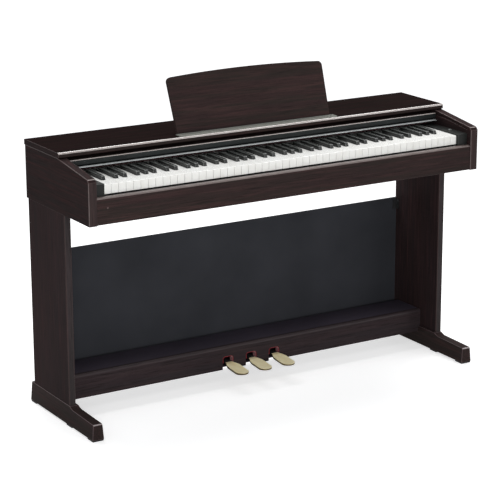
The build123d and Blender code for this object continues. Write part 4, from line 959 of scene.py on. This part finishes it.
@dataclass
class Casework:
    """The case: top board, sides, rail, keybed, rear cover and what is fixed to them.

    Lengths are in millimetres. A finish goes to the faces that look in the direction of
    its facing, or turn from it by up to its spread, in degrees.
    """

    shop: Workshop
    board_edge: float = 0.7
    side_edge: float = 0.8
    rail_edge: float = 0.7
    sheet_edge: float = 0.3
    moulding_inset: float = 2.0
    moulding_reach: float = 6.0
    moulding_spread: float = 41.0
    arm_corner: float = 5.0
    arm_spread: float = 40.0
    slope_facing: Triple = (-0.7, -0.35, 0.6)
    slope_spread: float = 25.0
    arm_bright: float = 132.6       # foot of a side panel to where the painted highlight on its chamfer begins
    chamfer_inset: float = 1.0
    chamfer_reach: float = 9.0
    chamfer_facing: Triple = (0.0, -0.9, 0.44)
    chamfer_spread: float = 24.0
    rail_facing: Triple = (0.0, -0.4, 0.9)
    rail_spread: float = 44.0
    cover_screw: Screw = Screw(4.0, 1.6)
    cover_screw_inset: float = 14.0
    cover_screws: int = 7
    jack_ring: Profile = ((3.2, 0.0), (3.2, 0.9), (3.7, 1.4), (4.9, 1.4), (5.6, 0.7), (5.6, 0.0))
    ring_steps: int = 28
    jack_spacing: float = 26.0
    jack_drop: float = 14.0
    inlet_offset: float = -16.0
    inlet_depth: float = 12.0
    inlet_pin: Profile = ((0.05, 0.0), (0.05, 9.4), (0.5, 9.4), (0.9, 8.8), (0.9, 0.0))
    pin_steps: int = 16
    socket_offset: float = 14.0
    socket_depth: float = 6.0
    tongue_size: Triple = (5.6, 3.2, 8.0)
    tongue_edge: float = 0.5
    flange_screw: Screw = Screw(2.2, 0.9, 12)
    flange_screw_inset: float = 3.2
    grille_width: float = 126.0
    grille_screw: Screw = Screw(2.4, 1.1, 12)
    grille_screw_along: float = 22.0
    grille_screw_inset: float = 5.0

    def build(self) -> None:
        """Builds the case."""
        self.build_top()
        for side, outside in (("left", LEFT), ("right", RIGHT)):
            self.build_side(side, outside)
        self.build_plain_boards()
        self.build_fittings()
        self.build_rear_screws()
        self.build_jack_rings()
        self.build_inlet_pin()
        self.build_data_tongue()
        self.build_flange_screws()
        self.build_grille_screws()

    def build_top(self) -> None:
        """Rounds and dresses the top board: its top face keeps a darker foil as painted shade, and its front
        moulding gets a paler, glossy finish as painted highlight.
        """
        shop = self.shop
        # the roundings get the paler edge finish, a painted highlight
        top = shop.soften("top_board", Finish.WOOD_TOP, self.board_edge, FINE, edge=Finish.EDGE_WOOD)
        low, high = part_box("top_board")
        # the front, rear and sides get brighter foils than the top face, which keeps its painted shade
        for facing in (TOWARDS_PLAYER, AWAY):
            shop.paint(top, Finish.WOOD_ACROSS, facing, FLAT)
        for facing in (LEFT, RIGHT):
            shop.paint(top, Finish.WOOD_DEEP, facing, FLAT)
        # painted highlight along the front moulding
        inset, reach = self.moulding_inset * MM, self.moulding_reach * MM
        shop.paint(
            top,
            Finish.EDGE_BRIGHT,
            UPPER_FRONT,
            self.moulding_spread,
            (low.x + inset, low.y - MM, high.z - reach),
            (high.x - inset, low.y + reach, high.z + MM),
        )

    def build_side(self, side: str, outside: Vector) -> None:
        """Rounds a side panel and dresses its arm, slope and chamfer, with painted highlights on their edges.

        Args:
            side: Which side it is, left or right.
            outside: The direction that its outer face looks in.
        """
        shop = self.shop
        node = f"side_panel_{side}"
        panel = shop.soften(node, Finish.WOOD_DEEP, self.side_edge, FINE, edge=Finish.EDGE_WOOD)
        low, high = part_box(f"side_panel_{side}")
        corner = (FAR, low.y + self.arm_corner * MM, FAR)
        # the arm front is lighter than the sides: partly the wrap's own colour, partly painted light
        shop.paint(panel, Finish.WOOD_ARM, TOWARDS_PLAYER, FLAT)
        shop.paint(panel, Finish.WOOD_ARM, TOWARDS_PLAYER - outside, self.arm_spread, high=corner)
        # painted highlights along the arm's front edge and its slope
        shop.paint(panel, Finish.EDGE_ARM, TOWARDS_PLAYER + LEFT, self.arm_spread, high=corner)
        shop.paint(panel, Finish.EDGE_SLOPE, Vector(self.slope_facing), self.slope_spread)
        shop.paint(panel, Finish.WOOD_DEEP, outside + DOWN, self.arm_spread)
        # painted highlight on the chamfer, from this height up
        bright = low.z + self.arm_bright * MM
        shop.cut(panel, (0.0, 0.0, bright), UP)
        inset = self.chamfer_inset * MM
        shop.paint(
            panel,
            Finish.EDGE_BRIGHT,
            Vector(self.chamfer_facing),
            self.chamfer_spread,
            (low.x + inset, low.y - MM, bright),
            (high.x - inset, low.y + self.chamfer_reach * MM, high.z),
        )

    def build_plain_boards(self) -> None:
        """Rounds and dresses the front rail, the keybed and the rear cover."""
        shop = self.shop
        # the roundings get the paler edge finish, a painted highlight
        rail = shop.soften("front_rail", Finish.WOOD_ACROSS, self.rail_edge, FINE, edge=Finish.EDGE_WOOD)
        # painted highlight over the rail's chamfer and its top face
        shop.paint(rail, Finish.EDGE_RAIL, Vector(self.rail_facing), self.rail_spread)
        shop.soften("keybed", Finish.BROWN_BOARD, self.rail_edge)
        shop.soften("rear_cover", Finish.DARK_BOARD, self.rail_edge)

    def build_fittings(self) -> None:
        """Dresses the moulded and metal fittings."""
        shop = self.shop
        shop.soften("connector_panel", Finish.BLACK_PLASTIC, self.sheet_edge)
        shop.soften("headphone_box", Finish.BLACK_PLASTIC, self.rail_edge)
        shop.soften("power_lamp", Finish.LAMP_LENS, self.sheet_edge)
        shop.soften("speakers", Finish.GREY_STEEL, self.sheet_edge)
        shop.soften("speaker_grilles", Finish.BLACK_STEEL, self.sheet_edge)
        shop.keep("circuit_boards", Finish.BOARD_GREEN)

    def build_rear_screws(self) -> None:
        """Sets a row of screws along the top and the foot of the rear cover."""
        low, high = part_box("rear_cover")
        inset = self.cover_screw_inset * MM
        places = [
            (x, high.y, z)
            for x in evenly(low.x + 2 * inset, high.x - 2 * inset, self.cover_screws)
            for z in (low.z + inset, high.z - inset)
        ]
        head = self.cover_screw.model()
        self.shop.spread(head, "rear_cover_screws", Finish.ZINC, "rear_cover", places, AWAY)

    def build_jack_rings(self) -> None:
        """Sets a turned ring round each headphone jack."""
        low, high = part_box("headphone_box")
        middle = (low.x + high.x) / 2
        half = self.jack_spacing / 2 * MM
        places = [(middle + side * half, low.y, high.z - self.jack_drop * MM) for side in (-1, 1)]
        ring = self.shop.turned(self.jack_ring, self.ring_steps)
        self.shop.spread(ring, "jack_rings", Finish.ZINC, "headphone_box", places, TOWARDS_PLAYER)

    def in_connector(self, offset: float, depth: float) -> list[Triple]:
        """Gives a place inside the connector panel, at half its height.

        Args:
            offset: Distance from the panel's middle towards the treble end.
            depth: Distance from the panel's rear face inwards.

        Returns:
            The place, as the only one of a list.
        """
        low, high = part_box("connector_panel")
        middle, height = (low.x + high.x) / 2, (low.z + high.z) / 2
        return [(middle + offset * MM, high.y - depth * MM, height)]

    def build_inlet_pin(self) -> None:
        """Sets the centre pin in the bore of the power inlet."""
        pin = self.shop.turned(self.inlet_pin, self.pin_steps)
        places = self.in_connector(self.inlet_offset, self.inlet_depth)
        self.shop.spread(pin, "inlet_pin", Finish.ZINC, "connector_panel", places, AWAY)

    def build_data_tongue(self) -> None:
        """Sets the tongue in the data socket."""
        bpy.ops.object.select_all(action="DESELECT")
        bpy.ops.mesh.primitive_cube_add(size=1.0)
        tongue = bpy.context.active_object
        tongue.scale = tuple(length * MM for length in self.tongue_size)
        bpy.ops.object.transform_apply(location=True, rotation=True, scale=True)
        edge = self.tongue_edge * MM
        self.shop.apply(tongue, "BEVEL", width=edge, segments=COARSE, limit_method="ANGLE")
        places = self.in_connector(self.socket_offset, self.socket_depth)
        self.shop.spread(tongue, "data_tongue", Finish.ACETAL, "connector_panel", places, AWAY)

    def build_flange_screws(self) -> None:
        """Sets a screw in each end of the connector panel's flange."""
        low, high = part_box("connector_panel")
        inset = self.flange_screw_inset * MM
        places = [(x, high.y, (low.z + high.z) / 2) for x in (low.x + inset, high.x - inset)]
        head = self.flange_screw.model()
        self.shop.spread(head, "connector_screws", Finish.BLACK_STEEL, "connector_panel", places, AWAY)

    def build_grille_screws(self) -> None:
        """Sets four small screws in each speaker grille."""
        low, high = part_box("speaker_grilles")
        width = self.grille_width * MM
        inset = self.grille_screw_inset * MM
        along = self.grille_screw_along * MM
        places = [
            (x, y, low.z)
            for left, right in ((low.x, low.x + width), (high.x - width, high.x))
            for x in (left + along, right - along)
            for y in (low.y + inset, high.y - inset)
        ]
        head = self.grille_screw.model()
        self.shop.spread(head, "grille_screws", Finish.ZINC, "speaker_grilles", places, DOWN)


@dataclass
class KeyCover:
    """The sliding key cover with its lip and runners, and the moulded fallboard under it."""

    shop: Workshop
    moulding_edge: float = 0.5
    lip_band: float = 3.2
    lip_facing: Triple = (0.0, -0.6, 0.8)
    lip_spread: float = 44.0
    nose_band: float = 5.5
    nose_facing: Triple = (0.0, -0.55, 0.83)
    nose_spread: float = 32.0

    def build(self) -> None:
        """Builds the cover and the fallboard."""
        shop = self.shop
        shop.soften("key_cover", Finish.WOOD_ACROSS, self.moulding_edge)
        lip = shop.soften("cover_lip", Finish.BLACK_PLASTIC, self.moulding_edge)
        low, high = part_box("cover_lip")
        band = self.lip_band * MM
        # painted highlight along the lip's upper front edge
        shop.paint(
            lip,
            Finish.EDGE_LIP,
            Vector(self.lip_facing),
            self.lip_spread,
            (-FAR, low.y - MM, high.z - band),
            (FAR, low.y + band, high.z + MM),
        )
        fallboard = shop.soften("fallboard_panel", Finish.BLACK_PLASTIC, self.moulding_edge)
        low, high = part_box("fallboard_panel")
        # painted highlight along the fallboard's nose
        shop.paint(
            fallboard,
            Finish.EDGE_GREY,
            Vector(self.nose_facing),
            self.nose_spread,
            high=(FAR, low.y + self.nose_band * MM, FAR),
        )
        shop.keep("cover_runners", Finish.ACETAL)


@dataclass
class Keyboard:
    """The eighty-eight keys on their frame."""

    shop: Workshop
    naturals: tuple[str, ...] = tuple(f"key_{note}" for note in "abcdefg")
    white_edge: float = 0.8
    black_edge: float = 0.9
    front_spread: float = 12.0

    def build(self) -> None:
        """Builds the keys and what carries them."""
        for node in sorted(self.shop.frame["nodes"]):
            if node.startswith("white_keys") or node in self.naturals:
                keys = self.shop.soften(node, Finish.WHITE_KEY, self.white_edge)
                # the key fronts get a painted shade
                self.shop.paint(keys, Finish.KEY_FRONT, TOWARDS_PLAYER, self.front_spread)
            elif node.startswith("black_keys") or node.endswith("_sharp"):
                # the black keys' roundings get a painted highlight
                self.shop.soften(node, Finish.BLACK_KEY, self.black_edge, edge=Finish.EDGE_KEY)
        self.shop.keep("key_frame", Finish.BLACK_STEEL)
        # the key felts are darkened as painted shade
        self.shop.keep("key_felts", Finish.KEY_FELT)


@dataclass
class Controls:
    """The moulded blocks beside the keys, with the buttons and the volume slider."""

    shop: Workshop
    block_edge: float = 0.6
    button_edge: float = 0.35

    def build(self) -> None:
        """Builds the blocks and controls."""
        for side in ("left", "right"):
            # the blocks' roundings get a painted highlight
            self.shop.soften(f"key_block_{side}", Finish.BLOCK_PLASTIC, self.block_edge, edge=Finish.EDGE_KEY)
        # the power button's grey is a painted reflection
        self.shop.soften("power_button", Finish.SWITCH_PLASTIC, self.button_edge)
        for node in ("voice_button", "metronome_button", "volume_slider"):
            self.shop.soften(node, Finish.CONTROL_PLASTIC, self.button_edge)


@dataclass
class MusicRest:
    """The folding music rest, its ledge, hinges and stays."""

    shop: Workshop
    rest_edge: float = 1.0
    metal_edge: float = 0.3
    painted_shadow_strip: float = 4.0         # painted shadow along the rear of the ledge, in millimetres
    strip_spread: float = 80.0

    def build(self) -> None:
        """Builds the rest and its fittings."""
        soften = self.shop.soften
        # the rest's roundings get the paler edge finish, a painted highlight
        soften("music_rest", Finish.WOOD_REST, self.rest_edge, FINE, edge=Finish.EDGE_WOOD)
        ledge = soften("music_ledge", Finish.LEDGE_RUBBER, self.metal_edge)
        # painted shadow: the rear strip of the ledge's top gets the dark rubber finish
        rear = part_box("music_ledge")[1].y - self.painted_shadow_strip * MM
        self.shop.cut(ledge, (0.0, rear, 0.0), AWAY)
        self.shop.paint(ledge, Finish.FOOT_RUBBER, UP, self.strip_spread, (-FAR, rear, -FAR))
        for node in ("rest_hinges", "rest_lugs", "rest_supports"):
            soften(node, Finish.BLACK_STEEL, self.metal_edge)


@dataclass
class Stand:
    """Legs, feet, back panel and their brackets."""

    shop: Workshop
    leg_edge: float = 0.6
    foot_edge: float = 1.1
    toe_height: float = 30.0
    toe_reach: float = 7.0
    toe_spread: float = 42.0
    panel_edge: float = 0.4
    panel_screw: Screw = Screw(4.0, 1.6)
    panel_screws: int = 6
    screw_rise: float = 22.0
    screw_inset: float = 40.0

    def build(self) -> None:
        """Builds the stand."""
        for side in ("left", "right"):
            self.build_leg(side)
        shop = self.shop
        shop.soften("back_panel", Finish.DARK_BOARD, self.panel_edge)
        shop.soften("foot_pads", Finish.FOOT_RUBBER, self.panel_edge)
        shop.soften("leg_brackets", Finish.BLACK_STEEL, self.panel_edge)
        shop.soften("panel_brackets", Finish.BLACK_STEEL, self.panel_edge)
        self.build_panel_screws()

    def build_leg(self, side: str) -> None:
        """Rounds and dresses a leg with its edge band, and the foot that it stands on.

        Args:
            side: Which side it is on, left or right.
        """
        shop = self.shop
        # the leg's and foot's roundings get paler edge finishes, painted highlights
        leg = shop.soften(f"leg_{side}", Finish.WOOD_UPRIGHT, self.leg_edge, FINE, edge=Finish.EDGE_WOOD)
        for facing in (TOWARDS_PLAYER, AWAY):
            shop.paint(leg, Finish.WOOD_BAND, facing, FLAT)
        foot = shop.soften(f"foot_{side}", Finish.WOOD_FOOT, self.foot_edge, FINE, edge=Finish.EDGE_FOOT)
        low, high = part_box(f"foot_{side}")
        # painted highlight on the toe's upper front edge
        shop.paint(
            foot,
            Finish.EDGE_TOE,
            UPPER_FRONT,
            self.toe_spread,
            (low.x, low.y - MM, low.z + self.toe_height * MM),
            (high.x, low.y + self.toe_reach * MM, high.z),
        )

    def build_panel_screws(self) -> None:
        """Sets a row of screws that hold the back panel's foot to the pedal box."""
        low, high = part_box("back_panel")
        inset = self.screw_inset * MM
        places = [
            (x, high.y, low.z + self.screw_rise * MM)
            for x in evenly(low.x + inset, high.x - inset, self.panel_screws)
        ]
        head = self.panel_screw.model()
        self.shop.spread(head, "back_panel_screws", Finish.ZINC, "back_panel", places, AWAY)


@dataclass
class PedalBox:
    """The pedal box with its lined notches, the pedal frame and the three pedals."""

    shop: Workshop
    board_edge: float = 0.8
    pedal_edge: float = 1.7
    felt_edge: float = 0.5
    brass_reach: float = 4.0        # brass behind this distance from the box is black
    top_radius: float = 9.0
    satin_spread: float = 44.0
    rim_slope: float = 0.25         # faces that look up less than this are the rim, which gets a painted shade

    def build(self) -> None:
        """Builds the box and the pedals."""
        soften = self.shop.soften
        front = soften("pedal_box_front", Finish.WOOD_BOX, self.board_edge, FINE, edge=Finish.WOOD_BOX)
        low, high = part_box("pedal_box_front")
        # painted sheen on the rounded top of the box front, over a real satin gloss
        lowest = (-FAR, -FAR, high.z - self.top_radius * MM)
        self.shop.paint(front, Finish.WOOD_SATIN, UPPER_FRONT, self.satin_spread, lowest)
        soften("pedal_box_shell", Finish.BOX_BOARD, self.board_edge, FINE)
        soften("pedal_felts", Finish.RED_FELT, self.felt_edge)
        soften("pedal_frame", Finish.BLACK_STEEL, self.felt_edge)
        for node in ("soft_pedal", "sostenuto_pedal", "damper_pedal"):
            pedal = soften(node, Finish.BRASS, self.pedal_edge, FINE)
            self.blacken_arm(pedal, low.y - self.brass_reach * MM)

    def blacken_arm(self, pedal: bpy.types.Object, front: float) -> None:
        """Paints a pedal's arm as black steel and the rim of its brass darker, as painted shade.

        Args:
            pedal: The finished pedal.
            front: Where the brass ends, along Y.
        """
        self.shop.cut(pedal, (0.0, front, 0.0), AWAY)
        self.shop.palette.dress(pedal, Finish.BRASS, Finish.BLACK_STEEL, Finish.BRASS_RIM)
        arm_slot, rim_slot = 1, 2
        for face in pedal.data.polygons:
            if face.center.y > front:
                face.material_index = arm_slot
            # painted shade on the brass faces that don't look up
            elif face.normal.z < self.rim_slope:
                face.material_index = rim_slot


# ---------------------------------------------------------------------------------------------
# Studio
# ---------------------------------------------------------------------------------------------


@dataclass(frozen=True)
class Softbox:
    """A rectangular lamp that looks at a point of the piano."""

    name: str
    place: Triple
    target: Triple
    size: tuple[float, float]
    power: float

    def build(self) -> None:
        """Adds the lamp to the scene."""
        light = bpy.data.lights.new(self.name, "AREA")
        light.shape = "RECTANGLE"
        light.size, light.size_y = self.size
        light.energy = self.power
        lamp = bpy.data.objects.new(self.name, light)
        lamp.location = self.place
        aim = Vector(self.target) - Vector(self.place)
        lamp.rotation_euler = aim.to_track_quat("-Z", "Y").to_euler()
        bpy.context.scene.collection.objects.link(lamp)


@dataclass
class Studio:
    """White floor and surroundings, soft lamps and the camera."""

    floor_half: float = 30.0        # metres
    floor_colour: float = 0.8
    near_lift: float = 0.57         # what the floor glows with near the piano
    far_lift: float = 0.85          # and far from it
    near_reach: float = 2.0
    far_reach: float = 7.0
    ambient: float = 0.5
    ambient_tint: Colour = (0.97, 0.98, 1.0)
    eye: Triple = (-2.995, -4.894, 2.023)
    yaw: float = 31.289
    pitch: float = 15.558
    roll: float = 0.16
    lens: float = 139.8
    lamps: tuple[Softbox, ...] = (
        Softbox("overhead", (0.5, 1.0, 2.85), (0.0, -0.1, 0.75), (3.6, 1.2), 84.0),
        Softbox("front_left", (-2.1, -4.6, 1.0), (0.2, 0.0, 0.45), (2.0, 1.6), 92.0),
        Softbox("front_right", (3.0, -4.4, 1.8), (0.0, 0.0, 0.5), (2.0, 2.0), 34.0),
    )

    def build(self) -> None:
        """Builds the whole studio."""
        self.build_world()
        self.build_floor()
        for lamp in self.lamps:
            lamp.build()
        self.build_camera()
        bpy.context.scene.view_settings.view_transform = "Standard"

    def seen(self, tree: bpy.types.NodeTree) -> bpy.types.NodeSocket:
        """Gives 1 on rays that show a surface to the eye, straight or by reflection.

        Args:
            tree: The node tree of the world or of the floor.

        Returns:
            The socket that holds the number.
        """
        path = tree.nodes.new("ShaderNodeLightPath")
        result = path.outputs["Is Camera Ray"]
        for name in ("Is Glossy Ray", "Is Transmission Ray"):
            either = tree.nodes.new("ShaderNodeMath")
            either.operation = "MAXIMUM"
            tree.links.new(result, either.inputs[0])
            tree.links.new(path.outputs[name], either.inputs[1])
            result = either.outputs["Value"]
        return result

    def build_world(self) -> None:
        """Makes surroundings that are white to the eye and a soft grey as light."""
        world = bpy.data.worlds.new("studio")
        bpy.context.scene.world = world
        world.use_nodes = True
        tree = world.node_tree
        tree.nodes.clear()
        white = tree.nodes.new("ShaderNodeBackground")
        white.inputs["Color"].default_value = (1.0, 1.0, 1.0, 1.0)
        light = tree.nodes.new("ShaderNodeBackground")
        light.inputs["Color"].default_value = (*self.ambient_tint, 1.0)
        light.inputs["Strength"].default_value = self.ambient
        mix = tree.nodes.new("ShaderNodeMixShader")
        output = tree.nodes.new("ShaderNodeOutputWorld")
        tree.links.new(self.seen(tree), mix.inputs["Fac"])
        tree.links.new(light.outputs["Background"], mix.inputs[1])
        tree.links.new(white.outputs["Background"], mix.inputs[2])
        tree.links.new(mix.outputs["Shader"], output.inputs["Surface"])

    def build_floor(self) -> None:
        """Makes a pale floor that keeps a faint shadow and is white further off."""
        bpy.ops.mesh.primitive_plane_add(size=2 * self.floor_half)
        floor = bpy.context.active_object
        floor.name = "floor"
        material = bpy.data.materials.new("floor")
        material.use_nodes = True
        tree = material.node_tree
        tree.nodes.clear()
        diffuse = tree.nodes.new("ShaderNodeBsdfDiffuse")
        diffuse.inputs["Color"].default_value = (*[self.floor_colour] * 3, 1.0)
        place = tree.nodes.new("ShaderNodeTexCoord")
        reach = tree.nodes.new("ShaderNodeVectorMath")
        reach.operation = "LENGTH"
        tree.links.new(place.outputs["Object"], reach.inputs[0])
        ramp = tree.nodes.new("ShaderNodeMapRange")
        set_range(ramp, (self.near_reach, self.far_reach, self.near_lift, self.far_lift))
        tree.links.new(reach.outputs["Value"], ramp.inputs["Value"])
        lift = tree.nodes.new("ShaderNodeMath")
        lift.operation = "MULTIPLY"
        tree.links.new(self.seen(tree), lift.inputs[0])
        tree.links.new(ramp.outputs["Result"], lift.inputs[1])
        glow = tree.nodes.new("ShaderNodeEmission")
        tree.links.new(lift.outputs["Value"], glow.inputs["Strength"])
        add = tree.nodes.new("ShaderNodeAddShader")
        output = tree.nodes.new("ShaderNodeOutputMaterial")
        tree.links.new(diffuse.outputs["BSDF"], add.inputs[0])
        tree.links.new(glow.outputs["Emission"], add.inputs[1])
        tree.links.new(add.outputs["Shader"], output.inputs["Surface"])
        floor.data.materials.append(material)

    def build_camera(self) -> None:
        """Adds the camera, which looks a little down and is rolled very slightly."""
        data = bpy.data.cameras.new("camera")
        data.lens = self.lens
        camera = bpy.data.objects.new("camera", data)
        camera.location = self.eye
        camera.rotation_euler = (
            math.radians(90.0 - self.pitch),
            math.radians(self.roll),
            math.radians(-self.yaw),
        )
        bpy.context.scene.collection.objects.link(camera)
        bpy.context.scene.camera = camera


def main() -> None:
    """Builds the piano's sub-assemblies in order, then the studio."""
    logging.basicConfig(level=logging.INFO, format="%(name)s %(message)s")
    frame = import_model()
    shop = Workshop(frame, Palette())
    for assembly in (Casework, KeyCover, Keyboard, Controls, MusicRest, Stand, PedalBox):
        assembly(shop).build()
        LOG.info("%s built", assembly.__name__)
    Studio().build()


if __name__ == "__main__":
    main()
